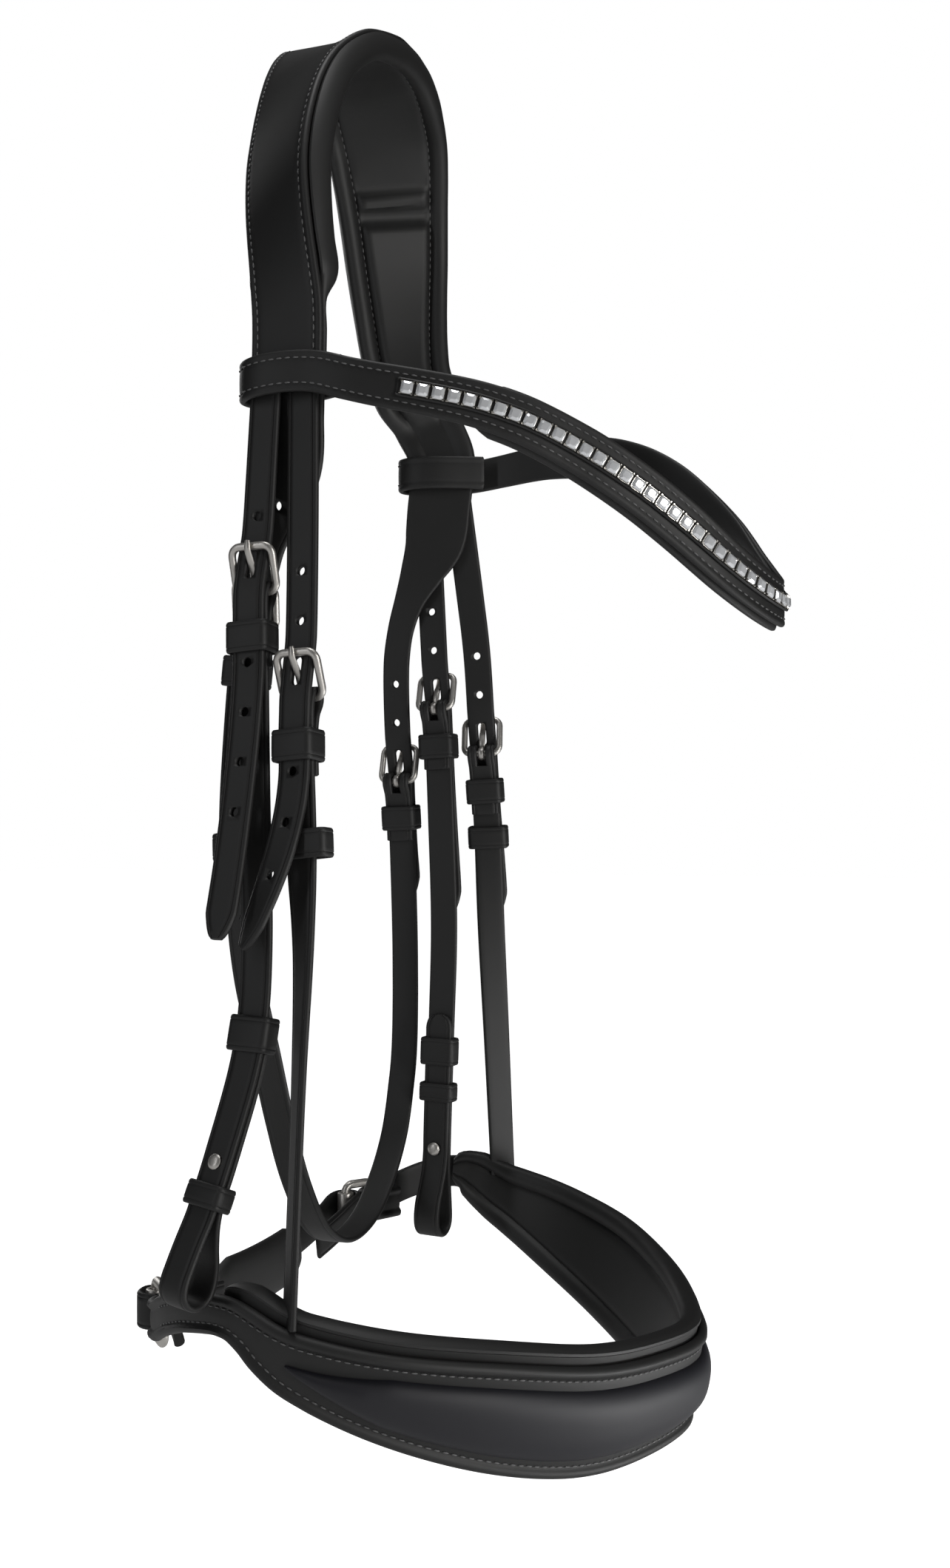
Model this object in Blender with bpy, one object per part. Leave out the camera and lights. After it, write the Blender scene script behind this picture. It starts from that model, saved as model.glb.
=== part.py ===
"""Snaffle bridle: crown, browband, two cheekpieces, throatlash, noseband with its hangers and chin strap.

Lengths are in metres.  X runs across the head, the muzzle side is -Y and +Z is up.
The numbers in millimetres below are heights from the top edge of the browband's loops;
ORIGIN_MM then carries everything to the poll seat, the middle of the crown's underside.
Side -1 is the horse's right (-X), side +1 the horse's left (+X).
"""

import math

import bmesh
import bpy
from mathutils import Vector

MM = 0.001
ORIGIN_MM = Vector((0.0, 14.0, 140.0))

# straps
STRAP_W = 12.4
STRAP_T = 2.2
BILLET_T = 2.4
GAP = 0.5
CROWN_T = 2.8
LINING_T = 9.0
TAB_T = 2.6
LINING_PROUD = 5.5
SPLIT_Z = -20.3

# buckles
WIRE_R = 1.4
BUCKLE_H = 15.0
BUCKLE_HALF_W = 8.0
RIM_OUT = 3.6
FOLD_R = WIRE_R + 0.3 + STRAP_T / 2
TONGUE_W = 2.8
TONGUE_T = 1.3
HOLE_W = 3.8
HOLE_TOP = 14.0
HOLE_LOW = 3.6
HOLE_PITCH = 17.5
HOLE_R = 1.7

# keepers
KEEPER_T = 1.5
KEEPER_L = 11.0
RUNNER_L = 10.0

# cheekpieces
CHEEK_L = {-1: 242.0, 1: 233.0}
TURN_UP_L = 96.0
EYE_R = 6.2
STUD_S = 196.0
BIT_KEEPER_S = 153.0

# crown, right foot to left foot: x, y, z, width and the turn of the width away from the fore-and-aft plane
CROWN_ROUTE = (
    (-82.5, 1.2, -18.6, 29.5, -10.0), (-82.5, 1.2, 1.0, 29.5, -10.0), (-82.3, 1.4, 18.0, 30.0, -12.0),
    (-81.0, 4.5, 40.0, 32.0, -22.0), (-76.5, 8.5, 63.0, 37.0, -32.0), (-66.5, 11.5, 87.0, 42.5, -36.0),
    (-50.0, 13.5, 112.0, 45.5, -34.0), (-28.0, 14.0, 135.0, 47.5, -20.0), (-6.0, 14.0, 148.8, 48.5, 0.0),
    (9.0, 14.0, 152.0, 49.0, 0.0), (23.0, 14.0, 152.0, 49.0, 0.0), (38.0, 14.0, 147.6, 49.0, 0.0),
    (56.0, 17.5, 134.0, 47.5, 22.0), (68.5, 21.0, 113.0, 45.0, 34.0), (75.5, 22.0, 88.0, 42.0, 36.0),
    (78.5, 20.5, 62.0, 37.0, 30.0), (80.5, 16.5, 38.0, 33.0, 18.0), (82.0, 8.0, 16.0, 30.0, 12.0),
    (82.5, 1.2, 1.0, 29.5, 10.0), (82.5, 1.2, -18.6, 29.5, 10.0),
)
TAB_END_Z = 18.0
TAB_FOOT_Z = -16.5

# hanging chains: y and out at falling heights, and the turn of the width in degrees
CHAINS = {
    ("cheek", -1): ((SPLIT_Z, 82.6, 9.8, 8), (-56, 84.5, 11.0, 6), (-82, 87.0, 11.8, 4), (-110, 89.5, 10.6, 4),
                    (-150, 93, 8.2, 6), (-205, 99, 4.2, 8), (-238, 104.5, 4.4, 10), (-272, 114, 10.0, 14),
                    (-303, 125, 16.0, 18), (-340, 136.5, 22.5, 20)),
    ("cheek", 1): ((SPLIT_Z, 82.6, 8.4, 8), (-60, 83.6, 6.8, 4), (-112, 84.0, 4.2, 0), (-160, 83.5, 2.0, 0),
                   (-210, 82.5, 0.2, 0), (-260, 81.5, 1.2, -4), (-320, 81.0, 2.6, -8), (-372, 81.0, 2.6, -8)),
    ("nose", -1): ((SPLIT_Z, 83.6, -5.6, 10), (-56, 86, -6.6, 8), (-90, 88.5, -7.4, 8), (-120, 91, -7.8, 8),
                   (-140, 93, -8.4, 9), (-171, 96.5, -11.0, 12), (-205, 100, -13.4, 36), (-250, 107, -15, 50),
                   (-315.5, 116, -16.5, 52)),
    ("nose", 1): ((SPLIT_Z, 83.6, -6.0, 10), (-60, 86.4, -10.6, 8), (-90, 89, -13.4, 8), (-132, 92, -15.0, 8),
                  (-169, 95, -16.4, 9), (-210, 100, -16.4, 24), (-260, 108, -16.4, 38), (-315.5, 116, -16.5, 46)),
    ("throat", -1): ((SPLIT_Z, 79.5, 1.5, 10), (-40, 78.0, 3.0, 8), (-62, 74.0, 12.0, 4), (-92, 70.5, 20.0, 0),
                     (-130, 70, 24.0, 0), (-172, 69, 26.0, 0), (-215, 62, 26.0, 0), (-250, 50, 24.0, 0)),
    ("throat", 1): ((SPLIT_Z, 79.5, 1.5, 10), (-40, 79.4, 4.5, 8), (-62, 78.8, 15.0, 4), (-90, 81.4, 22.6, 0),
                    (-144, 88.5, 23.8, 0), (-172, 91, 23.4, 0), (-215, 93, 22.8, 0), (-250, 91.5, 22.0, 0)),
}
BAR_Z = {("cheek", -1): -82.0, ("nose", -1): -120.0, ("throat", -1): -92.0,
         ("cheek", 1): -112.0, ("nose", 1): -132.0, ("throat", 1): -144.0}
TIP_Z = {"cheek": -203.0, "nose": -205.0, "throat": -197.0}
# how far each tail stands off its strap at the tip, and how far it drifts rearward
TAIL_FLARE = {("cheek", -1): (15.0, 4.0), ("nose", -1): (15.0, 9.0), ("throat", -1): (1.0, 0.0),
              ("cheek", 1): (5.0, 0.0), ("nose", 1): (2.5, -2.5), ("throat", 1): (4.0, 0.0)}
# second keepers: distance below the bar
RUNNER_S = {("nose", -1): 51.0, ("nose", 1): 38.0, ("throat", -1): 80.0, ("throat", 1): 27.0}
CHEEK_RUNNER_S = {-1: 207.0, 1: 171.0}
THROAT_TABS = ((0.0, 28.5), (18.0, 27.0), (32.0, 20.0), (46.0, 14.0), (58.0, STRAP_W))
THROAT_BOTTOM = ((-42, 22.4, -274), (-31, 21.2, -298), (-13, 20.4, -321), (10, 20.0, -332.0), (36, 20.0, -330.0),
                 (58, 20.4, -318), (76, 21.0, -300), (87, 21.6, -276))

# browband: x, y and z of the top edge, and the width, from the right loop round the front to the left
BROW_ROUTE = (
    (-88.6, -2.0, 0.0, 14.5), (-89.0, -18.0, -2.0, 14.5), (-87.0, -34.0, -5.6, 15.0), (-82.4, -52.0, -9.0, 15.6),
    (-76.4, -69.0, -12.6, 16.2), (-69.6, -85.0, -18.0, 16.8), (-61.5, -100.0, -25.6, 17.2),
    (-55.0, -112.0, -33.0, 17.6), (-46.0, -125.5, -43.0, 17.8), (-37.0, -137.5, -53.5, 18.0),
    (-27.0, -147.5, -63.5, 18.0), (-14.0, -156.0, -71.0, 18.0), (0.0, -159.5, -73.0, 18.0),
    (14.0, -156.5, -68.5, 18.0), (26.0, -149.5, -58.5, 18.0), (36.0, -140.5, -45.0, 18.0),
    (45.5, -128.5, -31.0, 17.8), (54.0, -115.5, -18.5, 17.6), (62.0, -100.0, -8.0, 17.2), (70.0, -83.5, -1.0, 16.8),
    (77.0, -66.5, 2.4, 16.2), (82.4, -48.0, 3.6, 15.6), (87.0, -32.0, 2.6, 15.0), (89.0, -18.0, 1.0, 14.5),
    (88.6, -2.0, 0.0, 14.5),
)
BROW_T = 2.4
BROW_PAD_T = 3.6
CHANNEL_T = 1.6
CHANNEL_W = 6.6

# noseband leather: x, y and z of the top edge, then of the bottom edge
NOSE_FRONT = (
    (0.0, -129.0, -352.0, 0.0, -123.0, -386.5), (33.0, -120.5, -350.0, 31.0, -114.0, -387.0),
    (64.5, -104.0, -346.0, 59.0, -97.5, -385.0), (93.0, -78.0, -338.5, 85.0, -73.0, -376.0),
    (113.0, -46.0, -332.0, 105.0, -43.5, -362.5), (119.5, -17.0, -325.5, 116.5, -16.0, -347.5),
)
NOSE_REAR = {
    -1: ((116.5, 4.0, -318.0, 116.0, 4.5, -332.5), (107.0, 24.0, -320.5, 107.0, 24.0, -334.0),
         (95.0, 39.5, -326.0, 95.0, 39.5, -340.0), (83.0, 51.0, -333.0, 83.0, 51.0, -347.0)),
    1: ((117.5, 2.0, -319.0, 117.0, 2.5, -334.0), (110.5, 16.0, -320.0, 110.5, 16.0, -334.5),
        (100.5, 27.5, -324.0, 100.5, 27.5, -338.0), (89.0, 37.0, -329.0, 89.0, 37.0, -343.0)),
}
NOSE_T = 2.8
NOSE_PAD_T = 7.0
NOSE_PAD_PROUD = 5.0
NOSE_FRONT_T = 4.2
RING_W = 13.0
RING_WIRE_R = 1.9
CHIN_W = 13.0
CHIN_T = 2.2
CHIN_SAG = 9.0
CHIN_PLAY = 1.0
CHIN_TAB = 0.24
CHIN_PAD_T = 6.0
ROLLER_R = 3.6

# colours for the materials: name, colour, roughness, metallic
LOOKS = {
    "outer_leather": ((0.012, 0.012, 0.013), 0.3, 0.0),
    "strap_leather": ((0.016, 0.015, 0.016), 0.42, 0.0),
    "padding": ((0.03, 0.03, 0.032), 0.75, 0.0),
    "glossy_leather": ((0.008, 0.008, 0.009), 0.12, 0.0),
    "steel": ((0.72, 0.7, 0.67), 0.22, 1.0),
    "crystal_channel": ((0.75, 0.76, 0.78), 0.2, 0.6),
}


def clear_scene():
    for obj in list(bpy.data.objects):
        bpy.data.objects.remove(obj, do_unlink=True)


def material(slot, node):
    colour, rough, metal = LOOKS[slot]
    mat = bpy.data.materials.new(slot + "__" + node)
    mat.use_nodes = True
    shader = mat.node_tree.nodes["Principled BSDF"]
    shader.inputs["Base Color"].default_value = (*colour, 1.0)
    shader.inputs["Roughness"].default_value = rough
    shader.inputs["Metallic"].default_value = metal
    return mat


def add_object(name, verts, faces, slot):
    """A closed mesh given in millimetres becomes a node in metres, with outward faces."""
    mesh = bpy.data.meshes.new(name)
    mesh.from_pydata([(Vector(v) - ORIGIN_MM) * MM for v in verts], [], faces)
    work = bmesh.new()
    work.from_mesh(mesh)
    bmesh.ops.recalc_face_normals(work, faces=work.faces)
    work.to_mesh(mesh)
    work.free()
    obj = bpy.data.objects.new(name, mesh)
    bpy.context.collection.objects.link(obj)
    mesh.materials.append(material(slot, name))
    return obj


def side_letter(side):
    return "R" if side < 0 else "L"


# ---------------------------------------------------------------- curves

def spline(rows, steps):
    """Catmull-Rom through rows of numbers; each row keeps its columns."""
    rows = [tuple(float(x) for x in row) for row in rows]
    ends = [rows[0]] + rows + [rows[-1]]
    out = []
    for i in range(1, len(ends) - 2):
        a, b, c, d = ends[i - 1:i + 3]
        for j in range(steps):
            t = j / steps
            out.append(tuple(
                0.5 * (2 * q + (r - p) * t + (2 * p - 5 * q + 4 * r - s) * t ** 2 + (3 * q - p - 3 * r + s) * t ** 3)
                for p, q, r, s in zip(a, b, c, d)))
    out.append(rows[-1])
    return out


def tangents(points, closed=False):
    """The direction at each point halves the angle between the runs that meet there."""
    runs = [(b - a).normalized() for a, b in zip(points, points[1:])]
    if closed:
        runs.append((points[0] - points[-1]).normalized())
        return [(runs[i - 1] + runs[i]).normalized() for i in range(len(points))]
    return [runs[0]] + [(a + b).normalized() for a, b in zip(runs, runs[1:])] + [runs[-1]]


def square_to(vector, axis):
    return (vector - axis * vector.dot(axis)).normalized()


def width_dir(side, turn_deg):
    """Width of a strap from its rear edge to its front edge; a positive turn brings the front edge outward."""
    turn = math.radians(turn_deg)
    return Vector((side * math.sin(turn), -math.cos(turn), 0.0))


class Strand:
    """The middle surface of a hanging strap: s runs down it, o is the way out from the head, v the width."""

    def __init__(self, side, rows):
        fine = spline(rows, 12)
        self.points = [Vector((side * out, y, z)) for z, out, y, turn in fine]
        self.tans = tangents(self.points)
        self.widths = [square_to(width_dir(side, row[3]), t) for row, t in zip(fine, self.tans)]
        self.side = side
        self.lengths = [0.0]
        for a, b in zip(self.points, self.points[1:]):
            self.lengths.append(self.lengths[-1] + (b - a).length)

    def at(self, s):
        if s <= 0.0:
            return self.points[0] + self.tans[0] * s, self.tans[0], self.widths[0]
        if s >= self.lengths[-1]:
            return self.points[-1] + self.tans[-1] * (s - self.lengths[-1]), self.tans[-1], self.widths[-1]
        i = next(k for k, length in enumerate(self.lengths) if length > s) - 1
        f = (s - self.lengths[i]) / (self.lengths[i + 1] - self.lengths[i])
        tan = self.tans[i].lerp(self.tans[i + 1], f).normalized()
        width = square_to(self.widths[i].lerp(self.widths[i + 1], f), tan)
        return self.points[i].lerp(self.points[i + 1], f), tan, width

    def out_dir(self, s):
        _, tan, width = self.at(s)
        out = tan.cross(width)
        return out if out.x * self.side > 0 else -out

    def put(self, s, o, v=0.0):
        point, _, width = self.at(s)
        return point + self.out_dir(s) * o + width * v

    def s_at_z(self, z):
        i = next(k for k, p in enumerate(self.points) if p.z <= z)
        a, b = self.points[i - 1], self.points[i]
        return self.lengths[i - 1] + (self.lengths[i] - self.lengths[i - 1]) * (a.z - z) / (a.z - b.z)


# ---------------------------------------------------------------- solids

def ribbon(name, centres, dirs, widths, thicks, slot, closed=False, normals=None):
    """A flat strap swept along centres; dirs give its width, and normals its thickness where layers must agree."""
    count = len(centres)
    widths = widths if isinstance(widths, list) else [widths] * count
    thicks = thicks if isinstance(thicks, list) else [thicks] * count
    tans = tangents(centres, closed)
    verts = []
    for i, (centre, tan) in enumerate(zip(centres, tans)):
        if normals:
            across = dirs[i]
            thick = normals[i] * (thicks[i] / 2)
        else:
            across = square_to(dirs[i], tan)
            into = (centre - centres[i - 1]).normalized() if closed or i else tan
            thick = tan.cross(across) * (thicks[i] / 2 / max(0.6, into.dot(tan)))
        half = across * (widths[i] / 2)
        verts += [centre - half - thick, centre + half - thick, centre + half + thick, centre - half + thick]
    return add_object(name, verts, strap_faces(count, closed), slot)


def strap_faces(count, closed):
    """Faces of a strap whose two flats are split the same way, so that stacked layers stay parallel."""
    faces = [] if closed else [(0, 1, 2, 3), tuple(4 * (count - 1) + k for k in range(4))]
    for i in range(count if closed else count - 1):
        a = 4 * i
        b = 4 * ((i + 1) % count)
        faces += [(a, a + 1, b + 1), (a, b + 1, b), (a + 2, a + 3, b + 2), (a + 3, b + 3, b + 2)]
        faces += [(a + 1, a + 2, b + 2, b + 1), (a + 3, a, b, b + 3)]
    return faces


def sweep_faces(count, sides, closed):
    """Faces of a run of rings with the same number of corners, capped at both ends unless closed."""
    faces = []
    for i in range(count if closed else count - 1):
        j = (i + 1) % count
        for k in range(sides):
            m = (k + 1) % sides
            faces.append((sides * i + k, sides * i + m, sides * j + m, sides * j + k))
    if not closed:
        faces.append(tuple(range(sides)))
        faces.append(tuple(sides * (count - 1) + k for k in range(sides)))
    return faces


def tube(name, centres, radius, slot, normal, sides=8):
    """A closed ring of round wire that lies in one plane, whose normal is given."""
    tans = tangents(centres, True)
    verts = []
    for i, (centre, tan) in enumerate(zip(centres, tans)):
        across = tan.cross(normal).normalized()
        miter = 1.0 / (centre - centres[i - 1]).normalized().dot(tan)
        for k in range(sides):
            a = 2 * math.pi * (k + 0.5) / sides
            verts.append(centre + across * (radius * math.cos(a) * miter) + normal * (radius * math.sin(a)))
    return add_object(name, verts, sweep_faces(len(centres), sides, True), slot)


def lathe(name, base, axis, profile, slot, sides=12):
    """A turned piece: profile is (height, radius) pairs along axis from base, closed at both ends."""
    side_dir = axis.orthogonal().normalized()
    other = axis.cross(side_dir)
    verts = []
    for height, radius in profile:
        for k in range(sides):
            a = 2 * math.pi * k / sides
            verts.append(base + axis * height + side_dir * (radius * math.cos(a)) + other * (radius * math.sin(a)))
    return add_object(name, verts, sweep_faces(len(profile), sides, False), slot)


def prism(points, axis, half):
    """An extruded outline, in millimetres, used to cut slots and holes."""
    verts = [p - axis * half for p in points] + [p + axis * half for p in points]
    n = len(points)
    faces = [tuple(range(n)), tuple(range(n, 2 * n))]
    faces += [(k, (k + 1) % n, n + (k + 1) % n, n + k) for k in range(n)]
    return add_object("cutter", verts, faces, "steel")


def cut(obj, cutters):
    """Take the cutters away from obj one after another and bake the result."""
    for cutter in cutters:
        cutter.hide_render = True
        cutter.display_type = "WIRE"
        mod = obj.modifiers.new("cut", "BOOLEAN")
        mod.operation = "DIFFERENCE"
        mod.solver = "EXACT"
        mod.object = cutter
        graph = bpy.context.evaluated_depsgraph_get()
        mesh = bpy.data.meshes.new_from_object(obj.evaluated_get(graph))
        obj.modifiers.clear()
        mats = list(obj.data.materials)
        obj.data = mesh
        mesh.materials.clear()
        mesh.materials.append(mats[0])
        bpy.data.objects.remove(cutter, do_unlink=True)
    obj.data.name = obj.name


# ---------------------------------------------------------------- crown

def crown_frames():
    rows = spline(CROWN_ROUTE, 2)
    points = [Vector(row[:3]) for row in rows]
    tans = tangents(points)
    turns = [math.radians(row[4]) for row in rows]
    across = [square_to(Vector((math.sin(a), -math.cos(a), 0)), t) for a, t in zip(turns, tans)]
    outs = [away(t.cross(a), p - Vector((8, p.y, 50))) for a, t, p in zip(across, tans, points)]
    return rows, points, across, outs


def away(vector, reference):
    return vector if vector.dot(reference) > 0 else -vector


def crown_leather():
    rows, points, across, outs = crown_frames()
    widths = [row[3] for row in rows]
    return ribbon("crown_leather", points, across, widths, CROWN_T, "outer_leather", normals=outs)


def crown_lining():
    """Padding under the crown that thins to a flat tab below TAB_END_Z on each leg."""
    rows, points, across, outs = crown_frames()
    centres, widths, thicks = [], [], []
    for row, p, out in zip(rows, points, outs):
        grow = min(1.0, max(0.0, (row[2] - TAB_END_Z) / 8.0))
        thick = TAB_T + (LINING_T - TAB_T) * grow
        centre = p - out * (CROWN_T / 2 + 0.4 + thick / 2)
        centre.z = max(centre.z, TAB_FOOT_Z)
        centres.append(centre)
        widths.append(row[3] - 0.5 + LINING_PROUD * grow)
        thicks.append(thick)
    return ribbon("crown_lining", centres, across, widths, thicks, "padding", normals=outs)


# ---------------------------------------------------------------- chains

def billet_path(strand, bar_s, tip_s, flare):
    """Path (s, o, v) of a billet: down the strand, over the fold at the bar, then free to the tip."""
    stand, drift = flare
    top = [(0.4, 0.0, 0.0)]
    top += [(s, 0.0, 0.0) for s in steps_between(12.0, bar_s - 26.0, 10.0)]
    near = [(bar_s - 20.0, 0.1, 0.0), (bar_s - 15.0, 0.65, 0.0), (bar_s - 10.0, 1.35, 0.0),
            (bar_s - 5.0, 2.1, 0.0), (bar_s, 2.75, 0.0), (bar_s + 6.0, 2.8, 0.0)]
    tail = []
    free_from = bar_s + 26.0
    for s in steps_between(bar_s + 16.0, tip_s - 6.0, 12.0):
        f = max(0.0, (s - free_from) / (tip_s - free_from))
        tail.append((s, 2.8 + stand * f ** 1.4, -drift * f ** 1.4))
    tail.append((tip_s - 2.5, 2.8 + stand * 0.97, -drift * 0.97))
    tail.append((tip_s, 2.8 + stand, -drift))
    return top + near + tail


def steps_between(start, end, step):
    count = max(1, round((end - start) / step))
    return [start + (end - start) * k / count for k in range(count + 1)]


def tail_width(s, tip_s, width):
    """Full width down to the last 9 mm, then drawn in to a blunt point."""
    left = tip_s - s
    if left >= 8.9:
        return width
    return width * (0.3 + 0.7 * math.sqrt(max(0.0, left) / 9.0))


def billet(chain, side, strand):
    bar_s = strand.s_at_z(BAR_Z[chain, side])
    tip_s = strand.s_at_z(TIP_Z[chain])
    path = billet_path(strand, bar_s, tip_s, TAIL_FLARE[chain, side])
    if chain == "throat":
        path = [(s, o, v) for s, o, v in path if s > 64.0 or s < 1.0]
        path[1:1] = [(s, 0.0, 0.0) for s, _ in THROAT_TABS[1:]]
    centres = [strand.put(*p) for p in path]
    dirs = [strand.at(p[0])[2] for p in path]
    widths = [tail_width(p[0], tip_s, billet_width(chain, p[0])) for p in path]
    name = chain + "_billet_" + side_letter(side)
    obj = ribbon(name, centres, dirs, widths, BILLET_T, "strap_leather")
    cut(obj, [tongue_slot(strand, bar_s)] + [punch(strand, s) for s in hole_stations(bar_s, tip_s, path)])
    return obj


def billet_width(chain, s):
    if chain != "throat" or s >= THROAT_TABS[-1][0]:
        return STRAP_W
    for (s0, w0), (s1, w1) in zip(THROAT_TABS, THROAT_TABS[1:]):
        if s <= s1:
            return w0 + (w1 - w0) * max(0.0, s - s0) / (s1 - s0)
    return STRAP_W


def hole_stations(bar_s, tip_s, path):
    """(s, o, v) of the spare holes: two above the buckle and those left in the tail."""
    out = []
    for k in (-2, -1, 2, 3, 4, 5):
        s = bar_s - 9.0 + k * HOLE_PITCH
        if not 30.0 < s < tip_s - 22.0:
            continue
        a, b = next((p, q) for p, q in zip(path, path[1:]) if p[0] <= s <= q[0])
        f = (s - a[0]) / (b[0] - a[0])
        out.append((s, a[1] + (b[1] - a[1]) * f, a[2] + (b[2] - a[2]) * f))
    return out


def punch(strand, station):
    s, o, v = station
    ring = []
    for k in range(10):
        a = 2 * math.pi * k / 10
        ring.append(strand.put(s + HOLE_R * math.cos(a), o, v + HOLE_R * math.sin(a)))
    return prism(ring, strand.out_dir(s), 4.0)


def tongue_slot(strand, bar_s):
    """An oval slot in the billet through which the tongue comes out."""
    half = HOLE_W / 2
    ring = []
    for centre, start in ((bar_s - HOLE_TOP + half, 90), (bar_s - HOLE_LOW - half, -90)):
        for k in range(7):
            a = math.radians(start + 30 * k)
            ring.append(strand.put(centre + half * math.cos(a), 1.4, half * math.sin(a)))
    return prism(ring, strand.out_dir(bar_s - 9.0), 5.0)


def fold_path(bar_s):
    """Path (s, o) of a strap end: up the back, round the bar and down the front."""
    back = [(bar_s + 27.0, -2.6), (bar_s + 10.0, -2.6), (bar_s + 5.5, -3.4), (bar_s + 2.6, -5.0)]
    turns = [math.radians(30 * k) for k in range(7)]
    return back + [(bar_s - FOLD_R * math.sin(a), -FOLD_R - FOLD_R * math.cos(a)) for a in turns]


def fold_slot(strand, bar_s):
    """A slot across the fold that leaves room for the tongue's root."""
    ring = [strand.put(bar_s + s, -FOLD_R, v) for s, v in ((-6, -2.1), (5.4, -2.1), (5.4, 2.1), (-6, 2.1))]
    return prism(ring, strand.out_dir(bar_s), 9.0)


def buckle(chain, side, strand):
    """The frame: a bar at the fold, two sides and the rim that the tongue rests on."""
    bar_s = strand.s_at_z(BAR_Z[chain, side])
    low = (bar_s, -FOLD_R)
    high = (bar_s - BUCKLE_H, RIM_OUT)
    outline = rounded_rectangle(BUCKLE_HALF_W, 1.4)
    centres = []
    for v, f in outline:
        centres.append(strand.put(low[0] + (high[0] - low[0]) * f, low[1] + (high[1] - low[1]) * f, v))
    edge = (strand.put(*high) - strand.put(*low)).normalized()
    normal = edge.cross(strand.at(bar_s)[2]).normalized()
    return tube(chain + "_buckle_" + side_letter(side), centres, WIRE_R, "steel", normal)


def rounded_rectangle(half, radius):
    """Outline (v, f) of a buckle frame; f runs 0 to 1 from the bar to the rim."""
    rf = radius / BUCKLE_H
    out = [(-half, rf), (-half, 0.5), (-half, 1 - rf)]
    out += [(-half + radius * 0.3, 1 - rf * 0.3), (-half + radius, 1.0), (half - radius, 1.0)]
    out += [(half - radius * 0.3, 1 - rf * 0.3), (half, 1 - rf), (half, 0.5), (half, rf)]
    out += [(half - radius * 0.3, rf * 0.3), (half - radius, 0.0), (-half + radius, 0.0)]
    out += [(-half + radius * 0.3, rf * 0.3)]
    return out


def tongue(chain, side, strand):
    """A hook round the bar and a shaft that rises through the billet to lie on the rim."""
    bar_s = strand.s_at_z(BAR_Z[chain, side])
    r = WIRE_R + 0.25 + TONGUE_T / 2
    hook = [(bar_s + r * math.sin(math.radians(a)), -FOLD_R + r * math.cos(math.radians(a)))
            for a in (60, 100, 140, 180, 220, 260, 300, 335)]
    shaft = [(bar_s - 4.2, -0.55), (bar_s - 7.6, 1.1), (bar_s - 11.0, 3.9),
             (bar_s - 13.6, 5.75), (bar_s - 16.2, 6.1)]
    centres = [strand.put(s, o) for s, o in hook + shaft]
    dirs = [strand.at(bar_s)[2]] * len(centres)
    widths = [TONGUE_W] * (len(centres) - 1) + [TONGUE_W * 0.7]
    name = chain + "_tongue_" + side_letter(side)
    return ribbon(name, centres, dirs, widths, TONGUE_T, "steel")


def keeper(name, strand, s, o_low, o_high, length=KEEPER_L, half_v=STRAP_W / 2, v_mid=0.0):
    """A leather loop round a stack of straps that fills o_low..o_high and half_v to each side of v_mid."""
    grow = GAP + KEEPER_T / 2
    o_mid, half_o, half = (o_low + o_high) / 2, (o_high - o_low) / 2 + grow, half_v + grow
    corner = 0.85
    outline = []
    for o, v in ((-1, -1), (-1, 1), (1, 1), (1, -1)):
        beside = (o * (half_o - corner), v * half)
        above = (o * half_o, v * (half - corner))
        outline += [above, beside] if o * v < 0 else [beside, above]
    centres = [strand.put(s, o_mid + o, v_mid + v) for o, v in outline]
    down = strand.at(s)[1]
    return ribbon(name, centres, [down] * len(centres), length, KEEPER_T, "strap_leather", closed=True)


STACK_LOW = -2.6 - STRAP_T / 2
STACK_HIGH = 2.8 + BILLET_T / 2


def hanging_strap(name, strand, bar_s, end_s):
    """The nose hanger: fold at the bar, then down to the noseband."""
    path = fold_path(bar_s) + [(s, 0.0) for s in steps_between(bar_s + 14.0, end_s, 12.0)]
    centres = [strand.put(s, o) for s, o in path]
    dirs = [strand.at(s)[2] for s, _ in path]
    obj = ribbon(name, centres, dirs, STRAP_W, STRAP_T, "strap_leather")
    cut(obj, [fold_slot(strand, bar_s)])
    return obj


def cheekpiece(side, strand):
    """Fold at the bar, down to the bit loop, round its eye and up the inner side to the tip."""
    bar_s = strand.s_at_z(BAR_Z["cheek", side])
    end = bar_s + CHEEK_L[side]
    inner = -(STRAP_T + 0.4)
    path = fold_path(bar_s) + [(s, 0.0) for s in steps_between(bar_s + 14.0, end - 28.0, 8.0)]
    path += [(end - 20.0, 0.9), (end - 12.0, 1.7)]
    for k in range(0, 9):
        a = math.radians(22.5 * k)
        path.append((end - EYE_R + EYE_R * math.sin(a), -4.2 + EYE_R * math.cos(a)))
    path += [(end - 13.0, -9.6), (end - 20.0, -6.6), (end - 27.0, -3.9)]
    path += [(s, inner) for s in reversed(steps_between(end - TURN_UP_L + 8.0, end - 34.0, 8.0))]
    path += [(end - TURN_UP_L + 3.0, inner), (end - TURN_UP_L, inner)]
    centres = [strand.put(s, o) for s, o in path]
    dirs = [strand.at(min(s, end - 20.0))[2] for s, _ in path]
    widths = [STRAP_W] * (len(path) - 2) + [STRAP_W * 0.86, STRAP_W * 0.45]
    obj = ribbon("cheekpiece_" + side_letter(side), centres, dirs, widths, STRAP_T, "strap_leather")
    cut(obj, [fold_slot(strand, bar_s), punch(strand, (bar_s + STUD_S, inner / 2, 0.0))])
    return obj


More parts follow.
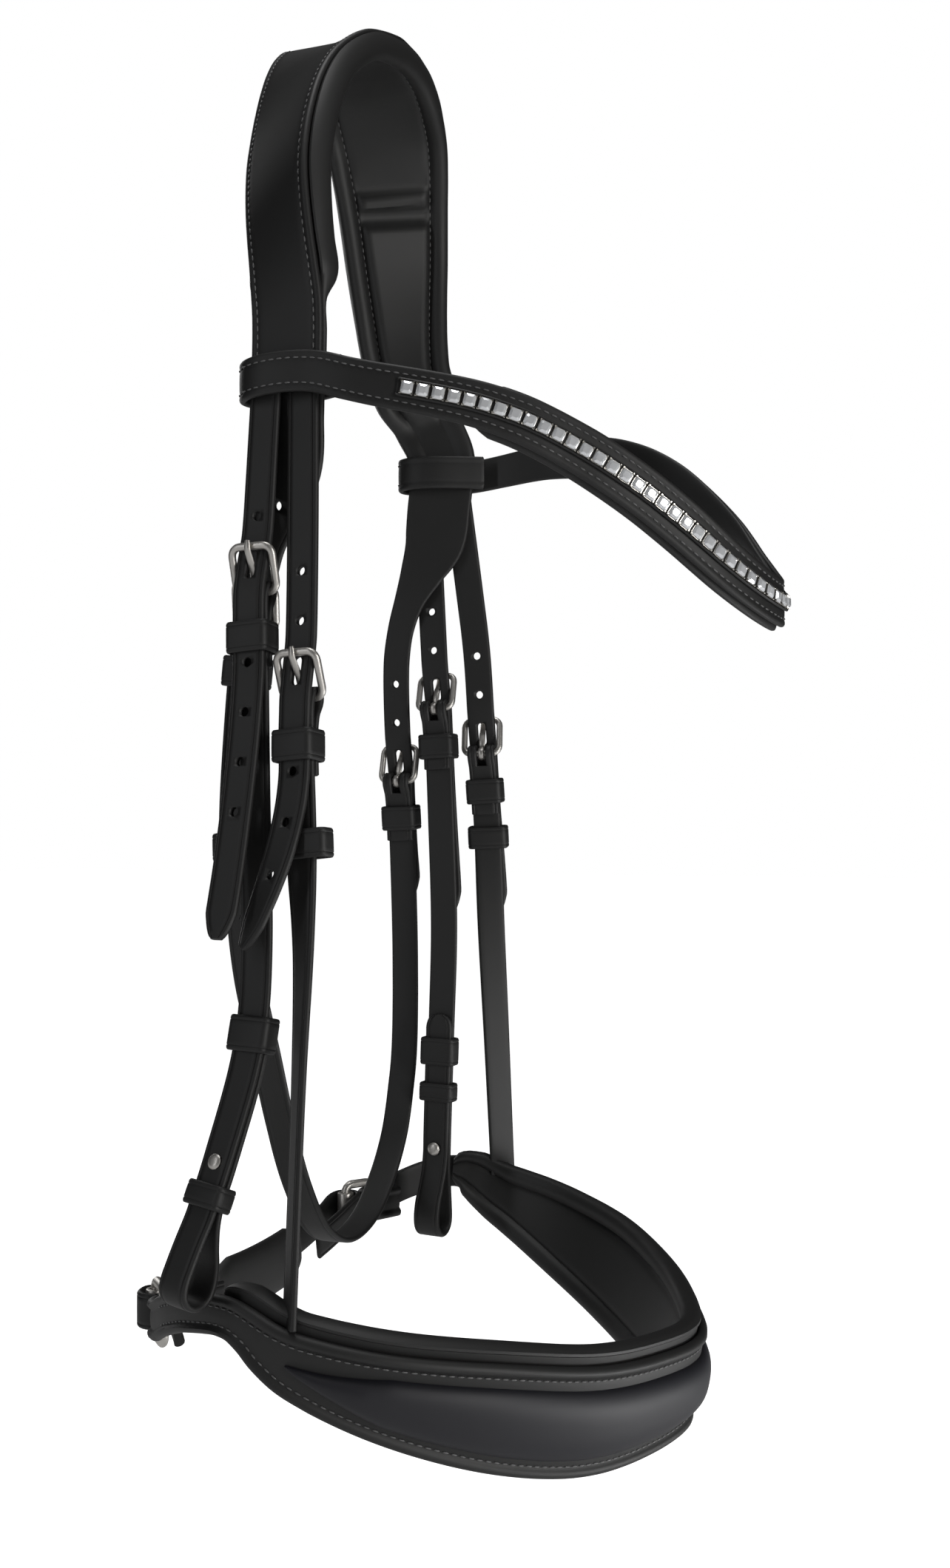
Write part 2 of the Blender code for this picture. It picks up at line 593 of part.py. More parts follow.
def hook_stud(side, strand):
    """The stud that pins the turned-up end: a shank through both layers with a head on each side."""
    s = strand.s_at_z(BAR_Z["cheek", side]) + STUD_S
    axis = -strand.out_dir(s)
    start = strand.put(s, STRAP_T / 2 + 1.3)
    depth = 2 * STRAP_T + 0.4 + 0.4
    profile = ((0.0, 1.6), (0.4, 2.6), (1.1, 2.6), (1.1, 1.3), (1.3 + depth, 1.3), (1.3 + depth, 2.8),
               (2.2 + depth, 2.8), (2.8 + depth, 1.6))
    return lathe("hook_stud_" + side_letter(side), start, axis, profile, "steel", sides=10)


def cheek(side):
    strand = Strand(side, CHAINS["cheek", side])
    letter = side_letter(side)
    bar_s = strand.s_at_z(BAR_Z["cheek", side])
    billet("cheek", side, strand)
    buckle("cheek", side, strand)
    tongue("cheek", side, strand)
    cheekpiece(side, strand)
    keeper("cheek_keeper_" + letter, strand, bar_s + 17.0, STACK_LOW, STACK_HIGH)
    inner = -(STRAP_T + 0.4) - STRAP_T / 2 - 0.2
    keeper("bit_keeper_" + letter, strand, bar_s + BIT_KEEPER_S, inner, STRAP_T / 2, length=12.0)
    keeper("bit_runner_" + letter, strand, bar_s + CHEEK_RUNNER_S[side], inner, STRAP_T / 2, length=8.0)
    hook_stud(side, strand)


def nose_hanger(side):
    strand = Strand(side, CHAINS["nose", side])
    letter = side_letter(side)
    bar_s = strand.s_at_z(BAR_Z["nose", side])
    billet("nose", side, strand)
    buckle("nose", side, strand)
    tongue("nose", side, strand)
    hanging_strap("nose_hanger_" + letter, strand, bar_s, strand.lengths[-1])
    keeper("nose_keeper_" + letter, strand, bar_s + 17.0, STACK_LOW, STACK_HIGH)
    s = bar_s + RUNNER_S["nose", side]
    if side < 0:
        keeper("nose_runner_R", strand, s, -STRAP_T / 2, STRAP_T / 2 + 1.6, RUNNER_L, STRAP_W / 2 + 2.2, 2.0)
    else:
        keeper("nose_runner_L", strand, s, -STRAP_T / 2, STACK_HIGH + 0.4, RUNNER_L, STRAP_W / 2 + 0.8)


def throatlash():
    """Both throat billets with their buckles, and the one strap that joins them under the jaw."""
    centres, dirs = [], []
    ends = {}
    for side in (-1, 1):
        strand = Strand(side, CHAINS["throat", side])
        letter = side_letter(side)
        bar_s = strand.s_at_z(BAR_Z["throat", side])
        ends[side] = (strand, bar_s)
        billet("throat", side, strand)
        buckle("throat", side, strand)
        tongue("throat", side, strand)
        keeper("throat_keeper_" + letter, strand, bar_s + 17.0, STACK_LOW, STACK_HIGH)
        s = bar_s + RUNNER_S["throat", side]
        if side < 0:
            keeper("throat_runner_R", strand, s, -STRAP_T / 2, STACK_HIGH + 0.6, RUNNER_L)
    for side in (-1, 1):
        strand, bar_s = ends[side]
        path = fold_path(bar_s) + [(s, 0.0) for s in steps_between(bar_s + 14.0, strand.lengths[-1] - 6.0, 12.0)]
        points = [strand.put(s, o) for s, o in path]
        widths = [strand.at(s)[2] for s, _ in path]
        if side < 0:
            centres, dirs = points, widths
            under = [Vector(row) for row in spline(THROAT_BOTTOM, 3)]
            centres = centres + under
            dirs = dirs + [Vector((0, -1, 0))] * len(under)
        else:
            centres = centres + points[::-1]
            dirs = dirs + widths[::-1]
    obj = ribbon("throatlash_strap", centres, dirs, STRAP_W, STRAP_T, "strap_leather")
    cut(obj, [fold_slot(*ends[-1]), fold_slot(*ends[1])])


# ---------------------------------------------------------------- browband

def brow_frames():
    rows = spline(BROW_ROUTE, 2)
    tops = [Vector(row[:3]) for row in rows]
    tans = tangents(tops)
    across = [square_to(Vector((0, 0, 1)), t) for t in tans]
    centres = [top - a * (row[3] / 2) for top, a, row in zip(tops, across, rows)]
    outs = [away(t.cross(a), c - Vector((0, -40, c.z))) for t, a, c in zip(tans, across, centres)]
    return rows, centres, across, outs


def brow_loop(side, front):
    """The end of the browband: from the strap rearward outside the crown's leg, round it and forward inside."""
    turn = math.radians(10.0)
    along = Vector((side * math.sin(turn), -math.cos(turn), 0))
    out = Vector((side * math.cos(turn), math.sin(turn), 0))
    mid = Vector((side * 82.5, 1.2, front.z))
    o_high = CROWN_T / 2 + 0.9 + BROW_T / 2
    o_low = -CROWN_T / 2 - 0.3 - TAB_T - 0.5 - BROW_T / 2
    half = 14.75 + 1.7 + BROW_T / 2
    rounds = ((o_high, half - 4.0), (o_high, -half + 1.6), (o_high - 1.6, -half), (o_low + 1.6, -half),
              (o_low, -half + 1.6), (o_low, half - 3.0), (o_low + 1.2, half + 1.6))
    return [mid + out * o + along * v for o, v in rounds]


def browband():
    rows, centres, across, outs = brow_frames()
    loops = {side: brow_loop(side, centres[0]) for side in (-1, 1)}
    up = Vector((0, 0, 1))
    path = loops[-1][::-1] + centres[3:-3] + loops[1]
    dirs = [up] * len(loops[-1]) + across[3:-3] + [up] * len(loops[1])
    widths = [14.5] * len(loops[-1]) + [row[3] for row in rows[3:-3]] + [14.5] * len(loops[1])
    ribbon("browband_strap", path, dirs, widths, BROW_T, "outer_leather")
    inner = [c - o * (BROW_T / 2 + 0.5 + BROW_PAD_T / 2) for c, o in zip(centres, outs)]
    wide = [row[3] + 2.0 for row in rows]
    mid = slice(8, -8)
    ribbon("browband_padding", inner[mid], across[mid], wide[mid], BROW_PAD_T, "padding", normals=outs[mid])
    front = [c + o * (BROW_T / 2 + 0.5 + CHANNEL_T / 2) for c, o in zip(centres, outs)]
    run = slice(5, -5)
    ribbon("browband_channel", front[run], across[run], CHANNEL_W, CHANNEL_T, "crystal_channel", normals=outs[run])


# ---------------------------------------------------------------- noseband

def nose_rows():
    """Edges of the leather from the right rear end round the front to the left rear end."""
    def mirrored(row):
        return (-row[0], row[1], row[2], -row[3], row[4], row[5])
    right = [mirrored(row) for row in NOSE_FRONT[1:] + NOSE_REAR[-1]]
    return spline(right[::-1] + list(NOSE_FRONT + NOSE_REAR[1]), 3)


def nose_frames():
    rows = nose_rows()
    tops = [Vector(row[:3]) for row in rows]
    lows = [Vector(row[3:]) for row in rows]
    centres = [(a + b) / 2 for a, b in zip(tops, lows)]
    tans = tangents(centres)
    across = [square_to(a - b, t) for a, b, t in zip(tops, lows, tans)]
    widths = [(a - b).length for a, b in zip(tops, lows)]
    outs = [away(t.cross(a), c - Vector((0, -20, c.z))) for t, a, c in zip(tans, across, centres)]
    return centres, across, widths, outs, tans


def ring_places():
    """For each side: the last centre of the noseband, the way on, and its outward way."""
    centres, across, widths, outs, _ = nose_frames()
    places = {}
    for side, end, before in ((-1, 0, 1), (1, -1, -2)):
        way = centres[end] - centres[before]
        way = Vector((way.x, way.y, 0)).normalized()
        out = Vector((way.y, -way.x, 0)) * side
        out = out if out.x * side > 0 else -out
        places[side] = (centres[end], way, out)
    return places


def nose_end_fold(side):
    """The noseband's end turned inward round the near bar of its ring."""
    end, way, out = ring_places()[side]
    r = RING_WIRE_R + 0.3 + NOSE_T / 2
    bar = end + way * 3.0 - out * r
    arc = [bar + way * (r * math.sin(math.radians(a))) + out * (r * math.cos(math.radians(a)))
           for a in (30, 60, 90, 120, 150, 180)]
    tail = [bar - way * 5.0 - out * (r - 0.4), bar - way * 13.0 - out * (r - 1.6)]
    return arc + tail


def noseband():
    centres, across, widths, outs, _ = nose_frames()
    up = Vector((0, 0, 1))
    folds = {side: nose_end_fold(side) for side in (-1, 1)}
    path = folds[-1][::-1] + centres + folds[1]
    dirs = [up] * 8 + across + [up] * 8
    wide = [widths[0]] * 8 + widths + [widths[-1]] * 8
    ribbon("noseband_leather", path, dirs, wide, NOSE_T, "outer_leather")
    shift = NOSE_T / 2 + 0.5 + NOSE_PAD_T / 2
    inner = [c - o * shift + a * (NOSE_PAD_PROUD / 2 - 0.5) for c, o, a in zip(centres, outs, across)]
    pad_wide = [w + NOSE_PAD_PROUD + 1.0 for w in widths]
    mid = slice(8, -8)
    ribbon("noseband_padding", inner[mid], across[mid], pad_wide[mid], NOSE_PAD_T, "padding", normals=outs[mid])
    raised = [c + o * (NOSE_T / 2 + 0.5 + NOSE_FRONT_T / 2) - a * 0.5 for c, o, a in zip(centres, outs, across)]
    front_w = [max(8.0, w - 15.0) for w in widths]
    run = slice(14, -14)
    ribbon("noseband_front", raised[run], across[run], front_w[run], NOSE_FRONT_T, "glossy_leather", normals=outs[run])


def end_ring(side):
    """A flat rectangular ring: one bar in the noseband's fold, the other for the chin strap."""
    end, way, out = ring_places()[side]
    r = RING_WIRE_R + 0.3 + NOSE_T / 2
    bar = end + way * 3.0 - out * r
    up = Vector((0, 0, 1))
    half = CHIN_W / 2 + 0.6 + RING_WIRE_R + 0.8
    mid_z = end.z
    centres = []
    for a, b in ((0, -1), (0, 1), (1, 1), (1, -1)):
        base = bar + way * (RING_W * a)
        base.z = mid_z
        corner = 1.5
        first = base + up * (b * half)
        toward_run = way * (corner if a == 0 else -corner)
        toward_mid = up * (-b * corner)
        pair = [first + toward_mid, first + toward_run]
        if (a, b) in ((0, -1), (1, 1)):
            pair.reverse()
        centres += pair
    return tube("nose_ring_" + side_letter(side), centres, RING_WIRE_R, "steel", out)


def chin_bar(side):
    end, way, out = ring_places()[side]
    r = RING_WIRE_R + 0.3 + NOSE_T / 2
    return end + way * (3.0 + RING_W) - out * r, way, out


def roller(side):
    """A loose steel sleeve on the ring's far bar."""
    bar, way, out = chin_bar(side)
    half = CHIN_W / 2 + 0.2
    steps = 12
    verts = []
    for z, r in ((-half, RING_WIRE_R + 0.25), (-half, ROLLER_R), (half, ROLLER_R), (half, RING_WIRE_R + 0.25)):
        for k in range(steps):
            a = 2 * math.pi * k / steps
            verts.append(bar + way * (r * math.cos(a)) + out * (r * math.sin(a)) + Vector((0, 0, z)))
    faces = []
    for i in range(4):
        j = (i + 1) % 4
        for k in range(steps):
            m = (k + 1) % steps
            faces.append((steps * i + k, steps * i + m, steps * j + m, steps * j + k))
    return add_object("nose_roller_" + side_letter(side), verts, faces, "steel")


def chin_line(t):
    """Middle line of the chin strap, sagging between the two rollers."""
    start, end = chin_bar(-1)[0], chin_bar(1)[0]
    swell = 4.0 * t * (1.0 - t)
    return start.lerp(end, t) + Vector((0, 0, -CHIN_SAG * swell))


def chin_layer(ts, shift):
    """Points beside the middle line; a positive shift is to the rear."""
    start, end = chin_bar(-1)[0], chin_bar(1)[0]
    along = (end - start).normalized()
    back = Vector((-along.y, along.x, 0))
    return [chin_line(t) + back * shift for t in ts]


def chin_fold(side, r):
    """Round the roller, from the rear layer to the inner layer."""
    start, end = chin_bar(-1)[0], chin_bar(1)[0]
    along = (end - start).normalized()
    back = Vector((-along.y, along.x, 0))
    angles = [math.radians(a) for a in (90, 60, 30, 0, -30, -60, -90)]
    bar = start if side < 0 else end
    return [bar + along * (side * r * math.cos(a)) + back * (r * math.sin(a)) for a in angles]


def chin():
    """The doubled chin strap round both rollers, and its padded piece."""
    r = ROLLER_R + CHIN_PLAY + CHIN_T / 2
    up = Vector((0, 0, 1))
    rear = chin_layer([k / 12 for k in range(1, 12)], r)
    tab_r = chin_layer([CHIN_TAB, CHIN_TAB * 0.66, CHIN_TAB * 0.33], -r)
    tab_l = chin_layer([1 - CHIN_TAB * 0.33, 1 - CHIN_TAB * 0.66, 1 - CHIN_TAB], -r)
    path = tab_r + chin_fold(-1, r)[::-1] + rear + chin_fold(1, r) + tab_l
    ribbon("chin_strap", path, [up] * len(path), CHIN_W, CHIN_T, "strap_leather")
    pad_at = r - CHIN_T / 2 - 0.5 - CHIN_PAD_T / 2
    pad = chin_layer([0.27 + 0.46 * k / 8 for k in range(9)], pad_at)
    ribbon("chin_pad", pad, [up] * len(pad), CHIN_W + 11.0, CHIN_PAD_T, "padding")


# ---------------------------------------------------------------- build

def build():
    clear_scene()
    crown_leather()
    crown_lining()
    for side in (-1, 1):
        cheek(side)
        nose_hanger(side)
    throatlash()
    browband()
    noseband()
    for side in (-1, 1):
        end_ring(side)
        roller(side)
    chin()


build()
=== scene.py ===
"""Snaffle bridle: the finished leather, padding, steel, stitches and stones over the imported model.

Routes are in millimetres from the top edge of the browband's loops, and ORIGIN_MM carries them to the
poll seat.  X runs across the head, the muzzle side is -Y and +Z is up.  Side -1 is the horse's right.
"""

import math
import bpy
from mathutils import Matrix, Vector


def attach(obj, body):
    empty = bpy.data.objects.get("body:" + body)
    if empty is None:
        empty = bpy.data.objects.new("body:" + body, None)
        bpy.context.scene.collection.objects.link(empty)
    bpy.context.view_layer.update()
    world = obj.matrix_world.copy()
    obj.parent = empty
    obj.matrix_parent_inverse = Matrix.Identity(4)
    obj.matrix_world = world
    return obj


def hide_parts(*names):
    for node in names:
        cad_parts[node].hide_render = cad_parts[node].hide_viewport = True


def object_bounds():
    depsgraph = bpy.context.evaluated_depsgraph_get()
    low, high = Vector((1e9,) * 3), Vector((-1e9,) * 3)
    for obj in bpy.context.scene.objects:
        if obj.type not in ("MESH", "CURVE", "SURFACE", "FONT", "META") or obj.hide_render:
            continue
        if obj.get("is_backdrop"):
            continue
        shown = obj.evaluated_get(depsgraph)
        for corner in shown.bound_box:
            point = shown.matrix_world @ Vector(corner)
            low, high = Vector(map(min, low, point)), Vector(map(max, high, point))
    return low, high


bl_info = {
    "name": "Snaffle Bridle",
    "version": (1, 0, 0),
    "blender": (4, 5, 0),
    "location": "View3D > Sidebar > Bridle",
    "description": "Builds the finished surfaces of a padded snaffle bridle over its packed frame",
    "category": "Object",
}

import bmesh
import bpy
import numpy as np
from bpy.props import FloatProperty, FloatVectorProperty, PointerProperty
from bpy.types import Operator, Panel, PropertyGroup
from mathutils import Matrix, Vector

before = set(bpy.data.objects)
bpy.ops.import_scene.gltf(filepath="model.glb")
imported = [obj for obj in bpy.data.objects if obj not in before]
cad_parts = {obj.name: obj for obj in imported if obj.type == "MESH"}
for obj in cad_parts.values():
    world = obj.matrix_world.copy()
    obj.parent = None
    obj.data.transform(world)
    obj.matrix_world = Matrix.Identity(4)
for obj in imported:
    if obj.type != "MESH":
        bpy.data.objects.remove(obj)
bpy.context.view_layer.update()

MM = 0.001
ORIGIN_MM = Vector((0.0, 14.0, 140.0))
UP = Vector((0.0, 0.0, 1.0))

# straps
STRAP_W = 12.4
STRAP_T = 2.2
BILLET_T = 2.4
GAP = 0.5
CROWN_T = 2.8
LINING_T = 9.0
TAB_T = 2.6
LINING_PROUD = 5.5
SPLIT_Z = -20.3
HIDDEN = 9.0
SEAM_IN = 2.9
SEAM_CLEAR = 40.0

# buckles
WIRE_R = 1.4
BUCKLE_H = 15.0
BUCKLE_HALF_W = 8.0
RIM_OUT = 3.6
FOLD_R = WIRE_R + 0.3 + STRAP_T / 2
TONGUE_W = 2.8
TONGUE_T = 1.3
HOLE_W = 3.8
HOLE_TOP = 14.0
HOLE_LOW = 3.6
HOLE_PITCH = 17.5
HOLE_R = 1.7

# keepers
KEEPER_T = 1.5
KEEPER_L = 11.0
KEEPER_S = 17.0
RUNNER_L = 10.0
STACK_LOW = -2.6 - STRAP_T / 2
STACK_HIGH = 2.8 + BILLET_T / 2

# cheekpieces
CHEEK_L = {-1: 242.0, 1: 233.0}
TURN_UP_L = 96.0
EYE_R = 6.2
STUD_S = 196.0
BIT_KEEPER_S = 153.0

# crown, right foot to left foot: x, y, z, width and the turn of the width away from the fore-and-aft plane
CROWN_ROUTE = (
    (-82.5, 1.2, -18.6, 29.5, -10.0), (-82.5, 1.2, 1.0, 29.5, -10.0), (-82.3, 1.4, 18.0, 30.0, -12.0),
    (-81.0, 4.5, 40.0, 32.0, -22.0), (-76.5, 8.5, 63.0, 37.0, -32.0), (-66.5, 11.5, 87.0, 42.5, -36.0),
    (-50.0, 13.5, 112.0, 45.5, -34.0), (-28.0, 14.0, 135.0, 47.5, -20.0), (-6.0, 14.0, 148.8, 48.5, 0.0),
    (9.0, 14.0, 152.0, 49.0, 0.0), (23.0, 14.0, 152.0, 49.0, 0.0), (38.0, 14.0, 147.6, 49.0, 0.0),
    (56.0, 17.5, 134.0, 47.5, 22.0), (68.5, 21.0, 113.0, 45.0, 34.0), (75.5, 22.0, 88.0, 42.0, 36.0),
    (78.5, 20.5, 62.0, 37.0, 30.0), (80.5, 16.5, 38.0, 33.0, 18.0), (82.0, 8.0, 16.0, 30.0, 12.0),
    (82.5, 1.2, 1.0, 29.5, 10.0), (82.5, 1.2, -18.6, 29.5, 10.0),
)
TAB_END_Z = 18.0
CROWN_FOOT_Z = -14.0
LEG_X = 82.5
LEG_Y = 1.2
LEG_TURN = 10.0
LEG_HALF_W = 14.75

# hanging chains: height, outward place, y and the turn of the width in degrees
CHAINS = {
    ("cheek", -1): ((SPLIT_Z, 82.6, 9.8, 8), (-56, 84.5, 11.0, 6), (-82, 87.0, 11.8, 4),
                    (-110, 89.5, 10.6, 4),
                    (-150, 93, 8.2, 6), (-205, 99, 4.2, 8), (-238, 104.5, 4.4, 10), (-272, 114, 10.0, 14),
                    (-303, 125, 16.0, 18), (-340, 136.5, 22.5, 20)),
    ("cheek", 1): ((SPLIT_Z, 82.6, 8.4, 8), (-60, 83.6, 6.8, 4), (-112, 84.0, 4.2, 0), (-160, 83.5, 2.0, 0),
                   (-210, 82.5, 0.2, 0), (-260, 81.5, 1.2, -4), (-320, 81.0, 2.6, -8), (-372, 81.0, 2.6, -8)),
    ("nose", -1): ((SPLIT_Z, 83.6, -5.6, 10), (-56, 86, -6.6, 8), (-90, 88.5, -7.4, 8), (-120, 91, -7.8, 8),
                   (-140, 93, -8.4, 9), (-171, 96.5, -11.0, 12), (-205, 100, -13.4, 36), (-250, 107, -15, 50),
                   (-315.5, 116, -16.5, 52)),
    ("nose", 1): ((SPLIT_Z, 83.6, -6.0, 10), (-60, 86.4, -10.6, 8), (-90, 89, -13.4, 8), (-132, 92, -15.0, 8),
                  (-169, 95, -16.4, 9), (-210, 100, -16.4, 24), (-260, 108, -16.4, 38),
                  (-315.5, 116, -16.5, 46)),
    ("throat", -1): ((SPLIT_Z, 79.5, 1.5, 10), (-40, 78.0, 3.0, 8), (-62, 74.0, 12.0, 4),
                     (-92, 70.5, 20.0, 0),
                     (-130, 70, 24.0, 0), (-172, 69, 26.0, 0), (-215, 62, 26.0, 0), (-250, 50, 24.0, 0)),
    ("throat", 1): ((SPLIT_Z, 79.5, 1.5, 10), (-40, 79.4, 4.5, 8), (-62, 78.8, 15.0, 4), (-90, 81.4, 22.6, 0),
                    (-144, 88.5, 23.8, 0), (-172, 91, 23.4, 0), (-215, 93, 22.8, 0), (-250, 91.5, 22.0, 0)),
}
BAR_Z = {("cheek", -1): -82.0, ("nose", -1): -120.0, ("throat", -1): -92.0,
         ("cheek", 1): -112.0, ("nose", 1): -132.0, ("throat", 1): -144.0}
TIP_Z = {"cheek": -203.0, "nose": -205.0, "throat": -197.0}
TAIL_FLARE = {("cheek", -1): (15.0, 4.0), ("nose", -1): (15.0, 9.0), ("throat", -1): (1.0, 0.0),
              ("cheek", 1): (5.0, 0.0), ("nose", 1): (2.5, -2.5), ("throat", 1): (4.0, 0.0)}
RUNNER_S = {("nose", -1): 51.0, ("nose", 1): 38.0, ("throat", -1): 80.0}
CHEEK_RUNNER_S = {-1: 207.0, 1: 171.0}
THROAT_TABS = ((0.0, 28.5), (18.0, 27.0), (32.0, 20.0), (46.0, 14.0), (58.0, STRAP_W))
THROAT_BOTTOM = ((-42, 22.4, -274), (-31, 21.2, -298), (-13, 20.4, -321), (10, 20.0, -332.0),
                 (36, 20.0, -330.0),
                 (58, 20.4, -318), (76, 21.0, -300), (87, 21.6, -276))

# browband: x, y and z of the top edge, and the width, from the right loop round the front to the left
BROW_ROUTE = (
    (-88.6, -2.0, 0.0, 14.5), (-89.0, -18.0, -2.0, 14.5), (-87.0, -34.0, -5.6, 15.0),
    (-82.4, -52.0, -9.0, 15.6),
    (-76.4, -69.0, -12.6, 16.2), (-69.6, -85.0, -18.0, 16.8), (-61.5, -100.0, -25.6, 17.2),
    (-55.0, -112.0, -33.0, 17.6), (-46.0, -125.5, -43.0, 17.8), (-37.0, -137.5, -53.5, 18.0),
    (-27.0, -147.5, -63.5, 18.0), (-14.0, -156.0, -71.0, 18.0), (0.0, -159.5, -73.0, 18.0),
    (14.0, -156.5, -68.5, 18.0), (26.0, -149.5, -58.5, 18.0), (36.0, -140.5, -45.0, 18.0),
    (45.5, -128.5, -31.0, 17.8), (54.0, -115.5, -18.5, 17.6), (62.0, -100.0, -8.0, 17.2),
    (70.0, -83.5, -1.0, 16.8),
    (77.0, -66.5, 2.4, 16.2), (82.4, -48.0, 3.6, 15.6), (87.0, -32.0, 2.6, 15.0), (89.0, -18.0, 1.0, 14.5),
    (88.6, -2.0, 0.0, 14.5),
)
BROW_T = 2.4
BROW_PAD_T = 3.6
CHANNEL_T = 1.6
CHANNEL_W = 6.6
STONE_CLEAR = 2.6

# noseband leather: x, y and z of the top edge, then of the bottom edge
NOSE_FRONT = (
    (0.0, -129.0, -352.0, 0.0, -123.0, -386.5), (33.0, -120.5, -350.0, 31.0, -114.0, -387.0),
    (64.5, -104.0, -346.0, 59.0, -97.5, -385.0), (93.0, -78.0, -338.5, 85.0, -73.0, -376.0),
    (113.0, -46.0, -332.0, 105.0, -43.5, -362.5), (119.5, -17.0, -325.5, 116.5, -16.0, -347.5),
)
NOSE_REAR = {
    -1: ((116.5, 4.0, -318.0, 116.0, 4.5, -332.5), (107.0, 24.0, -320.5, 107.0, 24.0, -334.0),
         (95.0, 39.5, -326.0, 95.0, 39.5, -340.0), (83.0, 51.0, -333.0, 83.0, 51.0, -347.0)),
    1: ((117.5, 2.0, -319.0, 117.0, 2.5, -334.0), (110.5, 16.0, -320.0, 110.5, 16.0, -334.5),
        (100.5, 27.5, -324.0, 100.5, 27.5, -338.0), (89.0, 37.0, -329.0, 89.0, 37.0, -343.0)),
}
NOSE_T = 2.8
NOSE_PAD_T = 7.0
NOSE_PAD_PROUD = 5.0
NOSE_FRONT_T = 4.2
RING_W = 13.0
RING_WIRE_R = 1.9
CHIN_W = 13.0
CHIN_T = 2.2
CHIN_SAG = 9.0
CHIN_PLAY = 1.0
CHIN_TAB = 0.24
CHIN_PAD_T = 6.0
ROLLER_R = 3.6
ROLLER_SIDES = 28

# sewing and stones, in metres
STITCH_PITCH = 3.1 * MM
STITCH_L = 2.4 * MM
THREAD_T = 0.62 * MM
STONE_PITCH = 5.4 * MM

# studio
BACKDROP_GLOW = 1.0
FLOOR_GLOW = 1.0
ROOM_GLOW = 0.02
FLOOR_LIGHT = 0.1
FLOOR_DROP = 0.12
MIDDLE = (0.0, -0.02, -0.25)
# name, place, aim, width, height, power and colour
LAMPS = (
    ("key", (-0.75, -1.35, -0.1), MIDDLE, 0.28, 0.9, 9.0, (1.0, 0.99, 0.97)),
    ("top", (-0.1, -0.1, 1.3), (0.0, 0.0, 0.0), 0.7, 0.7, 9.0, (1, 1, 1)),
    ("side", (-1.2, 0.75, 0.15), MIDDLE, 0.16, 1.3, 2.6, (0.97, 0.98, 1.0)),
    ("rear", (0.9, 1.2, 0.2), MIDDLE, 0.4, 1.2, 4.0, (1, 1, 1)),
    ("low", (0.02, -0.52, -0.62), (-0.05, -0.12, -0.5), 0.3, 0.05, 0.8, (1, 1, 1)),
)
CAMERA_AT = (-0.582, -0.245, -0.302)
CAMERA_YAW = 18.055
CAMERA_PITCH = 1.314
LENS = 36.0

# half outlines of a strap's section: inset from the edge, height over half the thickness, share of rim tone
# (real burnish plus painted edge highlight)
STRAP_FACE = ((3.2, 1.0, 0.0), (2.0, 1.0, 0.0), (1.7, 0.78, 0.0), (1.35, 1.0, 0.3), (0.8, 0.93, 0.7),
              (0.35, 0.7, 1.0), (0.08, 0.36, 1.0), (0.0, 0.0, 0.7))
STRAP_BACK = ((3.2, 1.0, 0.0), (1.2, 0.99, 0.1), (0.6, 0.9, 0.5), (0.25, 0.66, 1.0), (0.06, 0.35, 1.0))
SEWN_FACE = ((6.0, 1.0, 0.0), (4.4, 0.98, 0.0), (3.5, 0.88, 0.0), (2.9, 0.78, 0.0), (2.3, 0.92, 0.0),
             (1.5, 1.04, 0.1), (0.8, 0.96, 0.4), (0.3, 0.7, 0.9), (0.06, 0.36, 1.0), (0.0, 0.0, 1.0))
BEAD_FACE = ((7.4, 0.9, 0.0), (6.2, 0.86, 0.0), (5.4, 0.82, 0.0), (4.7, 0.74, 0.0), (4.1, 0.8, 0.0),
             (3.4, 1.3, 0.0), (2.4, 1.72, 0.0), (1.4, 1.62, 0.1), (0.6, 1.16, 0.5), (0.15, 0.6, 0.9),
             (0.0, 0.0, 1.0))
ROUND_FACE = ((0.9, 0.97, 0.0), (0.5, 0.84, 0.0), (0.2, 0.55, 0.0), (0.05, 0.3, 0.0), (0.0, 0.0, 0.0))
ROUND_BACK = ((0.9, 0.97, 0.0), (0.5, 0.84, 0.0), (0.2, 0.55, 0.0), (0.05, 0.3, 0.0))


